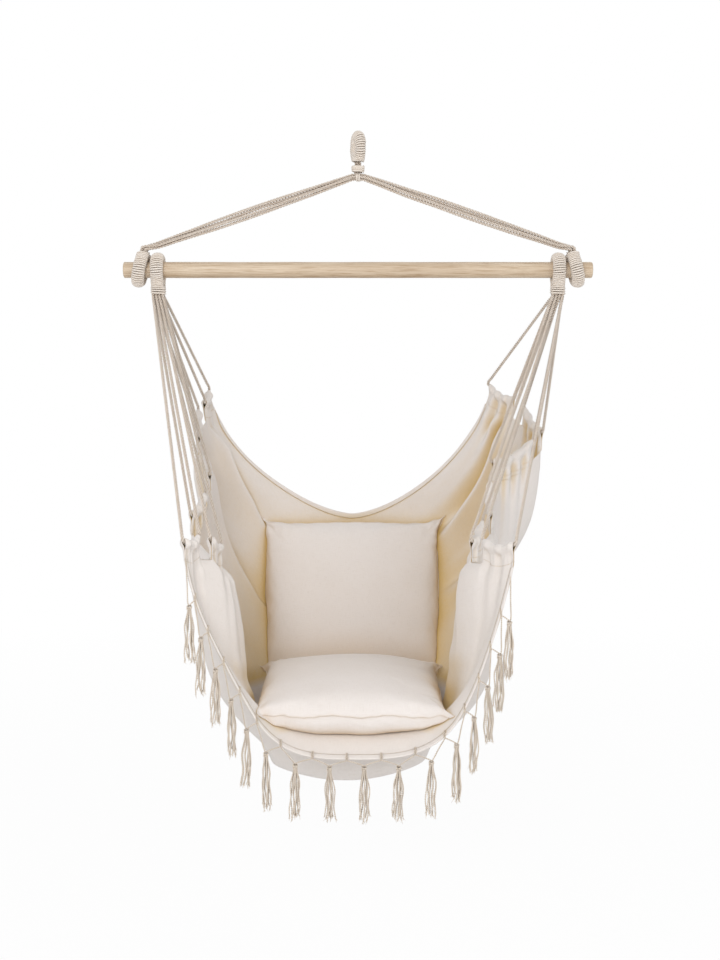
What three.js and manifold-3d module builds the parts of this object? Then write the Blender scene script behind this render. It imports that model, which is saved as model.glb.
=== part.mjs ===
// Hammock chair: a cloth seat with two loose cushions, hung by cords from a wooden spreader bar,
// which hangs by two rope bundles from one hanging eye.
// Millimetres, +Z up, X along the bar, the sitter faces -Y.
// The origin is the point inside the top of the eye where a hook bears.

import * as THREE from 'three';
import { mergeVertices } from 'three/addons/utils/BufferGeometryUtils.js';
import Module from 'manifold-3d';

const wasm = await Module();
wasm.setup();

// Shared clearances

const SEAT_GAP = 0.35;
const RUNNING_GAP = 0.5;
const OVERRUN = 40;

// Hanging eye: a rope loop wound with cord, turned a little about the vertical

const EYE_WOUND_RADIUS = 11.5;
const EYE_HOLE_WIDTH = 17;
const EYE_HOLE_HEIGHT = 36;
const EYE_TURN = THREE.MathUtils.degToRad(16);
const EYE_TURNS = 11;
const WHIPPING_DIAMETER = 4;
const WINDING_STEPS = 8;
const WINDING_SIDES = 4;

// Neck seizing under the eye, three nested layers round one centre

const NECK_DROP = 46;
const THROAT_RADIUS = 6;
const THROAT_STEM_SHARE = 0.62;
const THROAT_STEM_RISE_SHARE = 0.94;
const THROAT_FIRST_ANGLE = THREE.MathUtils.degToRad(45);
const THROAT_LAST_ANGLE = THREE.MathUtils.degToRad(160);
const THROAT_STEPS = 5;
const SEIZING_WALL = 1.5;
const SEIZING_HEIGHT = 19;
const NECK_TURNS = 2;
const NECK_RIM_ANGLE = THREE.MathUtils.degToRad(82);

// Spreader bar

const BAR_LENGTH = 1000;
const BAR_DIAMETER = 34;
const BAR_EDGE = 3;
const BAR_DROP = 269.7;

// Suspension ropes, and the end loops that carry the bar

const STRAND_DIAMETER = 6;
const STRAND_SPACING = 6.6;
const STRAND_SIDES = 8;
const CROSSING_RADIUS = 8;
const CROSSING_HEIGHT = 17;
const CROSSING_CLEARANCE = 1.6;
const BEARING_LOOP_INSET = 36;
const BEARING_LOOP_X = BAR_LENGTH / 2 - BEARING_LOOP_INSET;
const BEARING_LOOP_NECK = 33;
const BEARING_LOOP_LEAN_SHARE = 0.2;
const LOOP_TURNS = 10;
const LOOP_END_RISE = 2.2;

// Loops of the seat cords, which hang on top of the bar

const SEAT_LOOP_INSET = 73;
const SEAT_LOOP_X = BAR_LENGTH / 2 - SEAT_LOOP_INSET;
const LOOP_RADIAL_HALF = 10;
const LOOP_AXIAL_HALF = 14;
const SEAT_LOOP_NECK = 34;
const SEAT_NECK_HEIGHT = 9;
const SEAT_NECK_MARGIN = 1.5;

// Seat cords

const CORD_DIAMETER = 6;
const CORD_SIDES = 8;
const CORD_SLOT_SPACING = 6.8;
const CORD_SLOT_COLUMNS = 4;
const CORD_SLOT_ROWS = 3;
const CORD_DROP = 5;
const CORD_EXIT = 2;
const CHANNEL_SAG = 13;
const CORD_LEAD = 14;
const CORD_FLARE = 7;

// Cloth sling

const CLOTH = 2.4;
const SLING_HALF_SPAN = 410;
const SLING_HALF_DEPTH = 330;
const SEAT_SHIFT = -77;
const EDGE_TOP_DROP = 535;
const EDGE_FALL = 275;
const BACK_HEM_DROP = 825;
const BUCKET_DEPTH = 521;
const CHANNEL_DEPTH = 44;
const SECTION_SHARE = 0.145;
const NOTCH_SHARE = 0.026;
const WALL_CELLS = 9;
const LAYER_GAP = 0.6;

// Cushions

const CUSHION_SIDE = 432;
const CUSHION_UPPER_HALF = 70;
const CUSHION_LOWER_HALF = 72;
const SEAT_CUSHION_LOWER_HALF = 92;
const CUSHION_SEAM = 5;
const CUSHION_DRAW_IN = 11;
const CUSHION_CELLS = 12;
const CUSHION_X = -15;
const SEAT_CUSHION_FORWARD = 46;
const SEAT_CUSHION_Y = SEAT_SHIFT - SEAT_CUSHION_FORWARD;
const SEAT_CUSHION_RISE = 186;
const SEAT_CUSHION_DROP = BACK_HEM_DROP + BUCKET_DEPTH - SEAT_CUSHION_RISE;
const SEAT_CUSHION_TILT = THREE.MathUtils.degToRad(2.4);
const BACK_CUSHION_INSET = 57;
const BACK_CUSHION_Y = SEAT_SHIFT + SLING_HALF_DEPTH - BACK_CUSHION_INSET;
const BACK_CUSHION_RISE = 128;
const BACK_CUSHION_DROP = SEAT_CUSHION_DROP - BACK_CUSHION_RISE;
const BACK_CUSHION_LEAN = THREE.MathUtils.degToRad(74.5);

// Fringe along the front hem

const FRINGE_CORD_DIAMETER = 3;
const FRINGE_CORD_SIDES = 8;
const FRINGE_START = 2;
const FRINGE_END = 26;
const FRINGE_OUT = 4;
const FRINGE_DROP = 9;
const FRINGE_FORWARD = 4;
const FRINGE_BEND = 2;
const TASSEL_COUNT = 16;
const TASSEL_LENGTH = 122;
const TASSEL_SKIRT_RADIUS = 9.5;
const TASSEL_SIDES = 6;

// Outline tables, all in shares of the sizes above

// Seat cord ends along one side edge, rear to front, as shares of half span, half depth and edge fall.
// Two rows are one channel section: the cord goes in at the first and comes out at the second.
const LEFT_EDGE_SHARES = [
  [0.85, 1.0, 0.0], [0.855, 0.79, 0.08],
  [0.885, 0.71, 0.15], [0.865, 0.5, 0.34],
  [0.82, 0.41, 0.5], [0.78, 0.2, 0.62],
  [0.8, 0.1, 0.77], [0.85, -0.1, 0.9],
  [0.68, -0.36, 1.1], [0.71, -0.6, 1.0],
  [0.76, -0.68, 0.98], [0.81, -0.88, 0.98],
];
const RIGHT_EDGE_SHARES = [
  [0.75, 1.0, -0.05], [0.87, 0.82, 0.05],
  [0.92, 0.73, 0.12], [1.0, 0.54, 0.31],
  [0.94, 0.46, 0.38], [0.71, 0.27, 0.53],
  [0.69, 0.17, 0.69], [0.68, -0.06, 0.9],
  [0.63, -0.16, 0.95], [0.56, -0.42, 1.05],
  [0.61, -0.56, 1.03], [0.73, -0.88, 1.0],
];
// Mean line of each side wall from the rear hem to the front hem, as shares of half span
const LEFT_WALL_SHARES = [0.85, 0.857, 0.858, 0.83, 0.77, 0.6];
const RIGHT_WALL_SHARES = [0.78, 0.82, 0.82, 0.73, 0.67, 0.6];
// Middle line of the cloth from the rear hem over the seat to the front hem,
// as shares of half span, half depth and bucket depth
const MIDDLE_LINE_SHARES = [
  [-0.034, 1.06, 0.0],
  [-0.04, 1.04, 0.2],
  [-0.045, 0.98, 0.42],
  [-0.05, 0.86, 0.62],
  [-0.06, 0.66, 0.8],
  [-0.06, 0.34, 0.915],
  [-0.06, 0.0, 0.975],
  [-0.055, -0.3, 0.97],
  [-0.04, -0.5, 0.85],
  [-0.02, -0.6, 0.725],
  [-0.02, -0.8, 0.79],
];
// Roundness of the cross section from the rear hem to the front hem, an exponent
const ROUNDNESS_SHARES = [1.55, 2.2, 2.55, 2.6, 3.2];
// Where an edge's own fold starts and ends to fade down the wall, from the rear hem to the front hem
const FOLD_START_SHARES = [0.35, 0.35, 0.3, 0.0];
const FOLD_END_SHARES = [0.95, 0.95, 0.92, 0.8];

// Tassel outline, as shares of its length and skirt radius
const TASSEL_SHARES = [
  [0.0, 0.3], [0.02, 0.6], [0.07, 0.6], [0.1, 0.42], [0.3, 0.72], [0.8, 0.85], [1.0, 1.0],
];

// Materials

function fabric(colour, roughness) {
  return new THREE.MeshStandardMaterial({ color: colour, roughness, metalness: 0 });
}

const CANVAS = fabric(0xe9dfd2, 0.95);
const CUSHION_CLOTH = fabric(0xebe2d6, 0.95);
const ROPE = fabric(0xe6d8c2, 0.9);
const WHIPPING = fabric(0xeadfcd, 0.9);
const FRINGE = fabric(0xe9dcc6, 0.9);
const BEECH = new THREE.MeshStandardMaterial({ color: 0xe3c79c, roughness: 0.6, metalness: 0 });

const chair = new THREE.Group();

function add(name, geometry, material) {
  const mesh = new THREE.Mesh(geometry, material);
  mesh.name = name;
  chair.add(mesh);
  return mesh;
}

// Geometry helpers

const UP = new THREE.Vector3(0, 0, 1);
const ALONG_BAR = new THREE.Vector3(1, 0, 0);

function solidGeometry(points, triangles) {
  const geometry = new THREE.BufferGeometry();
  const flat = points.flatMap((p) => [p.x, p.y, p.z]);
  geometry.setAttribute('position', new THREE.Float32BufferAttribute(flat, 3));
  geometry.setIndex(triangles);
  return geometry;
}

function polygonShape(radius, sides) {
  const shape = new THREE.Shape();
  for (let i = 0; i < sides; i += 1) {
    const angle = (2 * Math.PI * (i + 0.5)) / sides;
    const x = radius * Math.cos(angle);
    const y = radius * Math.sin(angle);
    if (i === 0) shape.moveTo(x, y);
    else shape.lineTo(x, y);
  }
  shape.closePath();
  return shape;
}

// A smooth path whose steps follow its own points, so that close points give close steps
class PointPath extends THREE.CatmullRomCurve3 {
  getPointAt(share, target) {
    return this.getPoint(share, target);
  }

  getTangentAt(share, target) {
    return this.getTangent(share, target);
  }

  getSpacedPoints(count) {
    return this.getPoints(count);
  }
}

function rope(points, diameter, sides, stepsPerPoint) {
  const path = new PointPath(points, false, 'centripetal');
  const steps = (points.length - 1) * stepsPerPoint;
  const shape = polygonShape(diameter / 2, sides);
  return new THREE.ExtrudeGeometry(shape, { steps, bevelEnabled: false, extrudePath: path });
}

// Side faces between rings of points that follow each other, from the ring at a start index on
function sideTriangles(ringCount, sides, start) {
  const triangles = [];
  for (let i = 0; i + 1 < ringCount; i += 1) {
    for (let j = 0; j < sides; j += 1) {
      const a = start + i * sides + j;
      const b = start + i * sides + ((j + 1) % sides);
      triangles.push(a, b, b + sides, a, b + sides, a + sides);
    }
  }
  return triangles;
}

// A flat end on the ring that starts at an index
function endTriangles(start, sides) {
  const triangles = [];
  for (let j = 1; j + 1 < sides; j += 1) triangles.push(start, start + j, start + j + 1);
  return triangles;
}

// A tube through rings of points: each ring is a list of points round the tube, in order
function ringTube(rings) {
  const sides = rings[0].length;
  const last = (rings.length - 1) * sides;
  const triangles = [
    ...sideTriangles(rings.length, sides, 0),
    ...endTriangles(0, sides).reverse(),
    ...endTriangles(last, sides),
  ];
  return solidGeometry(rings.flat(), triangles);
}

function toManifold(geometry) {
  const bare = geometry.clone();
  bare.deleteAttribute('normal');
  bare.deleteAttribute('uv');
  const merged = mergeVertices(bare);
  const vertProperties = new Float32Array(merged.attributes.position.array);
  const triVerts = new Uint32Array(merged.index.array);
  return new wasm.Manifold(new wasm.Mesh({ numProp: 3, vertProperties, triVerts }));
}

function fromManifold(solid) {
  const mesh = solid.getMesh();
  const geometry = new THREE.BufferGeometry();
  geometry.setAttribute('position', new THREE.BufferAttribute(mesh.vertProperties, 3));
  geometry.setIndex(new THREE.BufferAttribute(mesh.triVerts, 1));
  return geometry;
}

function largestBody(solid) {
  return solid.decompose().reduce((best, body) => (body.volume() > best.volume() ? body : best));
}

function upright(geometry) {
  return geometry.rotateX(Math.PI / 2);
}

function smooth(low, high, value) {
  const share = Math.min(Math.max((value - low) / (high - low), 0), 1);
  return share * share * (3 - 2 * share);
}

// A value read between evenly spaced table entries
function readTable(table, share) {
  const place = Math.min(Math.max(share, 0), 1) * (table.length - 1);
  const low = Math.min(Math.floor(place), table.length - 2);
  const part = place - low;
  const blend = part * part * (3 - 2 * part);
  return table[low] + (table[low + 1] - table[low]) * blend;
}

// Winding: one unbroken tube wound round a core path, with a straight lead at each end

function coreFrames(path, count) {
  const frames = [];
  for (let i = 0; i <= count; i += 1) {
    const share = i / count;
    frames.push({ point: path.getPointAt(share), along: path.getTangentAt(share).normalize() });
  }
  return frames;
}

function frameAt(frames, share, side) {
  const place = share * (frames.length - 1);
  const low = Math.min(Math.floor(place), frames.length - 2);
  const part = place - low;
  const point = frames[low].point.clone().lerp(frames[low + 1].point, part);
  const along = frames[low].along.clone().lerp(frames[low + 1].along, part).normalize();
  const across = side.clone().addScaledVector(along, -side.dot(along)).normalize();
  const radial = new THREE.Vector3().crossVectors(along, across);
  return { point, along, across, radial };
}

function windingRings(frames, spec) {
  const { turns, halfAcross, halfRadial, side } = spec;
  const wire = WHIPPING_DIAMETER / 2;
  const steps = turns * WINDING_STEPS;
  const centres = [];
  const outward = [];
  for (let i = 0; i <= steps; i += 1) {
    const frame = frameAt(frames, i / steps, side);
    const angle = (2 * Math.PI * i) / WINDING_STEPS;
    const out = frame.across.clone().multiplyScalar((halfAcross - wire) * Math.cos(angle));
    out.addScaledVector(frame.radial, (halfRadial - wire) * Math.sin(angle));
    centres.push(frame.point.clone().add(out));
    outward.push(out.normalize());
  }
  const first = frameAt(frames, 0, side);
  const last = frameAt(frames, 1, side);
  centres.unshift(centres[0].clone().addScaledVector(first.along, -WHIPPING_DIAMETER));
  outward.unshift(outward[0].clone());
  centres.push(centres[centres.length - 1].clone().addScaledVector(last.along, WHIPPING_DIAMETER));
  outward.push(outward[outward.length - 1].clone());
  return { centres, outward, wire };
}

function leastGap(name, centres, wire) {
  let least = Infinity;
  const skip = WINDING_STEPS / 2;
  for (let i = 0; i < centres.length; i += 1) {
    for (let j = i + skip; j < centres.length; j += 1) {
      least = Math.min(least, centres[i].distanceTo(centres[j]) - 2 * wire);
    }
  }
  console.log(`${name}: least gap of the winding to itself ${least.toFixed(2)} mm`);
}

function winding(name, frames, spec) {
  const { centres, outward, wire } = windingRings(frames, spec);
  leastGap(name, centres, wire);
  const rings = centres.map((centre, i) => {
    const before = centres[Math.max(i - 1, 0)];
    const after = centres[Math.min(i + 1, centres.length - 1)];
    const along = after.clone().sub(before).normalize();
    const out = outward[i].clone().addScaledVector(along, -outward[i].dot(along)).normalize();
    const beside = new THREE.Vector3().crossVectors(along, out);
    const ring = [];
    for (let j = 0; j < WINDING_SIDES; j += 1) {
      const angle = (2 * Math.PI * j) / WINDING_SIDES;
      const point = centre.clone().addScaledVector(out, wire * Math.cos(angle));
      ring.push(point.addScaledVector(beside, wire * Math.sin(angle)));
    }
    return ring;
  });
  return ringTube(rings);
}

// Half width of the rope core that fits inside a winding of a given half width
function coreHalf(woundHalf) {
  const chord = Math.cos(Math.PI / WINDING_STEPS);
  return (woundHalf - WHIPPING_DIAMETER / 2) * chord - WHIPPING_DIAMETER / 2 - SEAT_GAP;
}

function ovalRings(frames, halfAcross, halfRadial, side, sides) {
  return frames.map((unused, i) => {
    const frame = frameAt(frames, i / (frames.length - 1), side);
    const ring = [];
    for (let j = 0; j < sides; j += 1) {
      const angle = (2 * Math.PI * j) / sides;
      const point = frame.point.clone().addScaledVector(frame.across, halfAcross * Math.cos(angle));
      ring.push(point.addScaledVector(frame.radial, halfRadial * Math.sin(angle)));
    }
    return ring;
  });
}

// Hanging eye

function eyePath() {
  const bend = EYE_HOLE_WIDTH / 2 + EYE_WOUND_RADIUS;
  const top = EYE_WOUND_RADIUS - bend;
  const bottom = -EYE_HOLE_HEIGHT;
  const half = [
    [EYE_WOUND_RADIUS * 0.9, bottom],
    [bend * 0.93, top + (bottom - top) * 0.5],
    [bend, top],
    [bend * Math.SQRT1_2, top + bend * Math.SQRT1_2],
  ];
  const left = half.map(([y, z]) => turned(-y, z));
  const right = half.map(([y, z]) => turned(y, z)).reverse();
  const points = [...left, turned(0, top + bend), ...right];
  return new THREE.CatmullRomCurve3(points, false, 'centripetal');
}

function turned(y, z) {
  return new THREE.Vector3(-y * Math.sin(EYE_TURN), y * Math.cos(EYE_TURN), z);
}

const eyeSide = new THREE.Vector3(Math.cos(EYE_TURN), Math.sin(EYE_TURN), 0);
const neckCentre = new THREE.Vector3(0, 0, -NECK_DROP);

// Rings of the stem and the ball under it, from the top down
function throatRings(sides) {
  const profile = [[THROAT_STEM_SHARE, THROAT_STEM_RISE_SHARE]];
  for (let i = 0; i <= THROAT_STEPS; i += 1) {
    const angle = THROAT_FIRST_ANGLE + ((THROAT_LAST_ANGLE - THROAT_FIRST_ANGLE) * i) / THROAT_STEPS;
    profile.push([Math.sin(angle), Math.cos(angle)]);
  }
  return profile.map(([wide, rise]) => {
    const ring = [];
    for (let j = 0; j < sides; j += 1) {
      const point = new THREE.Vector3(THROAT_RADIUS * wide, 0, THROAT_RADIUS * rise);
      ring.push(point.applyAxisAngle(UP, (-2 * Math.PI * j) / sides).add(neckCentre));
    }
    return ring;
  });
}

// Faces of the web between rings that start at the given indices, all but the rings' own discs
function webTriangles(points, starts, sides) {
  const corners = starts.flatMap((start) => points.slice(start, start + sides).map((point) => point.toArray()));
  const mesh = wasm.Manifold.hull(corners).getMesh();
  const found = [];
  for (let i = 0; i < mesh.numVert; i += 1) {
    const point = new THREE.Vector3().fromArray(mesh.vertProperties, i * mesh.numProp);
    const distances = corners.map((corner) => point.distanceTo(new THREE.Vector3().fromArray(corner)));
    found.push(distances.indexOf(Math.min(...distances)));
  }
  const triangles = [];
  for (let t = 0; t < mesh.triVerts.length; t += 3) {
    const three = [0, 1, 2].map((k) => found[mesh.triVerts[t + k]]);
    const rings = new Set(three.map((index) => Math.floor(index / sides)));
    if (rings.size > 1) triangles.push(...three.map((index) => starts[Math.floor(index / sides)] + (index % sides)));
  }
  return triangles;
}

// The loop's two ends run together in a web, which ends in a stem and the throat ball
function eyeCore() {
  const half = coreHalf(EYE_WOUND_RADIUS);
  const limb = ovalRings(coreFrames(eyePath(), 24), half, half, eyeSide, 8);
  const throat = throatRings(8);
  const points = [...limb, ...throat].flat();
  const limbEnd = (limb.length - 1) * 8;
  const throatStart = limb.length * 8;
  const triangles = [
    ...sideTriangles(limb.length, 8, 0),
    ...webTriangles(points, [0, limbEnd, throatStart], 8),
    ...sideTriangles(throat.length, 8, throatStart),
    ...endTriangles(points.length - 8, 8),
  ];
  return solidGeometry(points, triangles);
}

add('eye_core', eyeCore(), ROPE);
const eyeSpec = { turns: EYE_TURNS, halfAcross: EYE_WOUND_RADIUS, halfRadial: EYE_WOUND_RADIUS, side: eyeSide };
add('eye_whipping', winding('eye_whipping', coreFrames(eyePath(), 60), eyeSpec), WHIPPING);

// Neck seizing: a cup round the throat, a second cup round the first, and cord round the second

function cup(innerRadius, outerRadius, bottom) {
  const profile = [];
  const count = 8;
  for (let i = 0; i <= count; i += 1) {
    const angle = NECK_RIM_ANGLE + ((Math.PI - NECK_RIM_ANGLE) * i) / count;
    profile.push(new THREE.Vector2(innerRadius * Math.sin(angle), innerRadius * Math.cos(angle)));
  }
  if (bottom > 0) {
    profile.push(new THREE.Vector2(0, -bottom), new THREE.Vector2(outerRadius, -bottom));
    profile.push(new THREE.Vector2(outerRadius, innerRadius * Math.cos(NECK_RIM_ANGLE)));
  } else {
    for (let i = count; i >= 0; i -= 1) {
      const angle = NECK_RIM_ANGLE + ((Math.PI - NECK_RIM_ANGLE) * i) / count;
      profile.push(new THREE.Vector2(outerRadius * Math.sin(angle), outerRadius * Math.cos(angle)));
    }
  }
  profile.push(profile[0].clone());
  profile[count].x = 0;
  return upright(new THREE.LatheGeometry(profile, 16)).translate(0, 0, -NECK_DROP);
}

const innerCupRadius = THROAT_RADIUS + RUNNING_GAP;
const innerCupOuter = innerCupRadius + SEIZING_WALL;
const outerCupRadius = innerCupOuter + RUNNING_GAP;
const outerCupOuter = outerCupRadius + SEIZING_WALL;

add('neck_seizing_inner', cup(innerCupRadius, innerCupOuter, 0), ROPE);
add('neck_seizing_outer', cup(outerCupRadius, outerCupOuter, SEIZING_HEIGHT), ROPE);

function neckWhipping() {
  const half = (outerCupOuter + SEAT_GAP + WHIPPING_DIAMETER / 2) / Math.cos(Math.PI / WINDING_STEPS);
  const top = new THREE.Vector3(0, 0, -NECK_DROP - WHIPPING_DIAMETER);
  const bottom = new THREE.Vector3(0, 0, -NECK_DROP - SEIZING_HEIGHT + WHIPPING_DIAMETER);
  const wound = half + WHIPPING_DIAMETER / 2;
  const spec = { turns: NECK_TURNS, halfAcross: wound, halfRadial: wound, side: ALONG_BAR };
  return winding('neck_whipping', coreFrames(new THREE.LineCurve3(top, bottom), 4), spec);
}

add('neck_whipping', neckWhipping(), WHIPPING);

// Rope crossing: the seized middle that both rope bundles run into

const crossingTop = NECK_DROP + SEIZING_HEIGHT + SEAT_GAP;
const bundleDrop = crossingTop + CROSSING_HEIGHT / 2;

function ropeCrossing() {
  const geometry = new THREE.CylinderGeometry(CROSSING_RADIUS, CROSSING_RADIUS, CROSSING_HEIGHT, 12);
  return upright(geometry).translate(0, 0, -bundleDrop);
}

add('rope_crossing', ropeCrossing(), ROPE);

// Spreader bar

function spreaderBar() {
  const half = BAR_LENGTH / 2;
  const radius = BAR_DIAMETER / 2;
  const profile = [
    new THREE.Vector2(0, -half),
    new THREE.Vector2(radius - BAR_EDGE, -half),
    new THREE.Vector2(radius, -half + BAR_EDGE),
    new THREE.Vector2(radius, half - BAR_EDGE),
    new THREE.Vector2(radius - BAR_EDGE, half),
    new THREE.Vector2(0, half),
  ];
  const bar = new THREE.LatheGeometry(profile, 32).rotateZ(-Math.PI / 2);
  return bar.translate(0, 0, -BAR_DROP);
}

add('spreader_bar', spreaderBar(), BEECH);

// Wound loops round the bar: an arc round the bar that closes to a neck above or below it

const loopRadius = BAR_DIAMETER / 2 + SEAT_GAP + LOOP_RADIAL_HALF;
const loopNeckHalf = LOOP_RADIAL_HALF + SEAT_GAP * 2;

function loopPath(x, neckHeight, up, leanShare) {
  const reach = Math.hypot(loopNeckHalf, neckHeight);
  const split = Math.atan2(loopNeckHalf, neckHeight) + Math.acos(loopRadius / reach);
  const arc = Math.PI - split;
  const points = [];
  const place = (y, h) => points.push(
    new THREE.Vector3(x - Math.sign(x) * leanShare * h * up, y, -BAR_DROP + h * up),
  );
  place(-loopNeckHalf, neckHeight);
  place((-loopNeckHalf - loopRadius * Math.sin(arc)) / 2, (neckHeight - loopRadius * Math.cos(arc)) / 2);
  const count = 10;
  for (let i = 0; i <= count; i += 1) {
    const angle = -arc + (2 * arc * i) / count;
    place(loopRadius * Math.sin(angle), -loopRadius * Math.cos(angle));
  }
  place((loopNeckHalf + loopRadius * Math.sin(arc)) / 2, (neckHeight - loopRadius * Math.cos(arc)) / 2);
  place(loopNeckHalf, neckHeight);
  return new THREE.CatmullRomCurve3(points, false, 'centripetal');
}

function boundLoop(name, path) {
  const halfAcross = LOOP_AXIAL_HALF;
  const halfRadial = LOOP_RADIAL_HALF;
  const core = coreFrames(path, 24);
  const ends = [core[0], core[core.length - 1]];
  ends[0] = { point: extend(core[0], -WHIPPING_DIAMETER), along: core[0].along };
  ends[1] = { point: extend(core[core.length - 1], WHIPPING_DIAMETER), along: core[core.length - 1].along };
  const frames = [ends[0], ...core, ends[1]];
  const rings = ovalRings(frames, coreHalf(halfAcross), coreHalf(halfRadial), ALONG_BAR, 8);
  add(`${name}_core`, ringTube(rings), ROPE);
  const spec = { turns: LOOP_TURNS, halfAcross, halfRadial, side: ALONG_BAR };
  add(`${name}_whipping`, winding(`${name}_whipping`, coreFrames(path, 60), spec), WHIPPING);
}

function extend(frame, distance) {
  return frame.point.clone().addScaledVector(frame.along, distance);
}

const SIDES = [['left', -1], ['right', 1]];

for (const [side, sign] of SIDES) {
  const bearing = loopPath(sign * BEARING_LOOP_X, BEARING_LOOP_NECK, 1, BEARING_LOOP_LEAN_SHARE);
  boundLoop(`bearing_loop_${side}`, bearing);
  boundLoop(`seat_loop_${side}`, loopPath(sign * SEAT_LOOP_X, SEAT_LOOP_NECK, -1, 0));
}

// Suspension strands, four to a side, from the bar's end loops to the crossing

const STRAND_PLACES = [[1, 0], [0, 1], [0, -1], [-1, 0]];
const STRAND_STARTS = [[0.5, 1], [-0.5, 1], [0.5, -1], [-0.5, -1]];
const STRAND_RISE_SHARES = [0.8, 2, 0.8, 2];
// Halfway along its run the bundle opens into one upright row
const STRAND_ROW_SHARES = [0.5, 1.5, -1.5, -0.5];
const STRAND_CLOSING_SHARE = 0.6;
const STRAND_OPENING_SHARES = [[0.25, 0.6], [0.5, 1], [0.75, 0.6]];

function strand(sign, index) {
  const pitch = STRAND_SPACING * Math.SQRT1_2;
  const startHeight = BEARING_LOOP_NECK + WHIPPING_DIAMETER + LOOP_END_RISE;
  const lean = BEARING_LOOP_LEAN_SHARE * startHeight;
  const [alongStart, acrossStart] = STRAND_STARTS[index];
  const [across, height] = STRAND_PLACES[index];
  const startX = BEARING_LOOP_X - lean - alongStart * STRAND_SPACING;
  const startY = acrossStart * loopNeckHalf;
  const start = new THREE.Vector3(sign * startX, startY, -BAR_DROP + startHeight);
  const near = new THREE.Vector3(
    sign * (BEARING_LOOP_X - lean - STRAND_DIAMETER * 5),
    across * pitch,
    -BAR_DROP + startHeight + STRAND_DIAMETER * 2.2 + height * pitch,
  );
  const end = new THREE.Vector3(
    sign * (CROSSING_RADIUS + CROSSING_CLEARANCE),
    across * pitch,
    -bundleDrop + height * pitch,
  );
  const rise = start.clone().addScaledVector(UP, STRAND_DIAMETER * STRAND_RISE_SHARES[index]);
  const row = STRAND_ROW_SHARES[index] * STRAND_SPACING;
  const opening = new THREE.Vector3(0, -across * pitch * STRAND_CLOSING_SHARE, row - height * pitch);
  const points = [start, rise, near];
  for (const [share, open] of STRAND_OPENING_SHARES) {
    points.push(near.clone().lerp(end, share).addScaledVector(opening, open));
  }
  points.push(end);
  return rope(points, STRAND_DIAMETER, STRAND_SIDES, 1);
}

for (const [side, sign] of SIDES) {
  for (let i = 0; i < STRAND_PLACES.length; i += 1) {
    add(`suspension_strand_${side}_${i + 1}`, strand(sign, i), ROPE);
  }
}

// Sling: side edges, cross sections and the folded cloth

const CURVE_STEPS = 48;
const FOLD_CELLS = 3;

const edgeTop = -EDGE_TOP_DROP;

function edgePoint([xShare, yShare, fallShare], sign) {
  return new THREE.Vector3(
    sign * xShare * SLING_HALF_SPAN,
    SEAT_SHIFT + yShare * SLING_HALF_DEPTH,
    edgeTop - fallShare * EDGE_FALL,
  );
}

function section(sign, index) {
  const shares = sign < 0 ? LEFT_EDGE_SHARES : RIGHT_EDGE_SHARES;
  const rear = edgePoint(shares[index * 2], sign);
  const front = edgePoint(shares[index * 2 + 1], sign);
  const middle = rear.clone().lerp(front, 0.5).addScaledVector(UP, -CHANNEL_SAG);
  const run = front.clone().sub(rear).setZ(0).normalize();
  const outward = new THREE.Vector3(-sign * run.y, sign * run.x, 0);
  const before = middle.clone().sub(rear).normalize();
  const after = front.clone().sub(middle).normalize();
  const along = [before, before.clone().add(after).normalize(), after];
  const over = along.map((line) => UP.clone().addScaledVector(line, -line.z).normalize());
  const bend = 1 / Math.sqrt((1 + before.dot(after)) / 2);
  return { points: [rear, middle, front], outward, over, stretch: [1, bend, 1] };
}

const SECTION_COUNT = LEFT_EDGE_SHARES.length / 2;

function stationShare(index) {
  const inSection = index % 3;
  const whole = (index - inSection) / 3;
  return whole * (SECTION_SHARE + NOTCH_SHARE) + (inSection * SECTION_SHARE) / 2;
}

const STATION_COUNT = SECTION_COUNT * 3;

const middleLine = new THREE.CatmullRomCurve3(
  MIDDLE_LINE_SHARES.map(([x, y, depth]) => new THREE.Vector3(
    x * SLING_HALF_SPAN,
    SEAT_SHIFT + y * SLING_HALF_DEPTH,
    -BACK_HEM_DROP - depth * BUCKET_DEPTH,
  )),
  false,
  'centripetal',
);

function wallCurve(sign, station) {
  const share = stationShare(station);
  const edge = section(sign, Math.floor(station / 3)).points[station % 3];
  const middle = middleLine.getPointAt(Math.min(share, 1));
  const walls = sign < 0 ? LEFT_WALL_SHARES : RIGHT_WALL_SHARES;
  const meanX = sign * readTable(walls, share) * SLING_HALF_SPAN;
  const power = readTable(ROUNDNESS_SHARES, share);
  const foldStart = readTable(FOLD_START_SHARES, share);
  const foldEnd = readTable(FOLD_END_SHARES, share);
  const points = [];
  for (let i = 0; i <= CURVE_STEPS; i += 1) {
    const angle = (Math.PI / 2) * (i / CURVE_STEPS);
    const wide = Math.cos(angle) ** (2 / power);
    const deep = Math.sin(angle) ** (2 / power);
    const fold = 1 - smooth(foldStart, foldEnd, deep);
    const x = middle.x + (meanX - middle.x) * wide + (edge.x - meanX) * fold;
    const y = edge.y + (middle.y - edge.y) * smooth(0, 1, i / CURVE_STEPS);
    const z = edge.z + (middle.z - edge.z) * deep;
    points.push(new THREE.Vector3(x, y, z));
  }
  points[points.length - 1].copy(middle);
  return points;
}

function lengthOf(points) {
  let length = 0;
  for (let i = 1; i < points.length; i += 1) length += points[i].distanceTo(points[i - 1]);
  return length;
}

function walk(points, distance) {
  let left = distance;
  for (let i = 1; i < points.length; i += 1) {
    const step = points[i].distanceTo(points[i - 1]);
    if (left <= step) return points[i - 1].clone().lerp(points[i], left / step);
    left -= step;
  }
  return points[points.length - 1].clone();
}

const foldFree = CORD_DIAMETER / 2 + SEAT_GAP + CLOTH / 2;
const foldRadius = foldFree / Math.cos(Math.PI / (2 * FOLD_CELLS));
const layerHalf = (CLOTH + LAYER_GAP) / 2;

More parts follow.
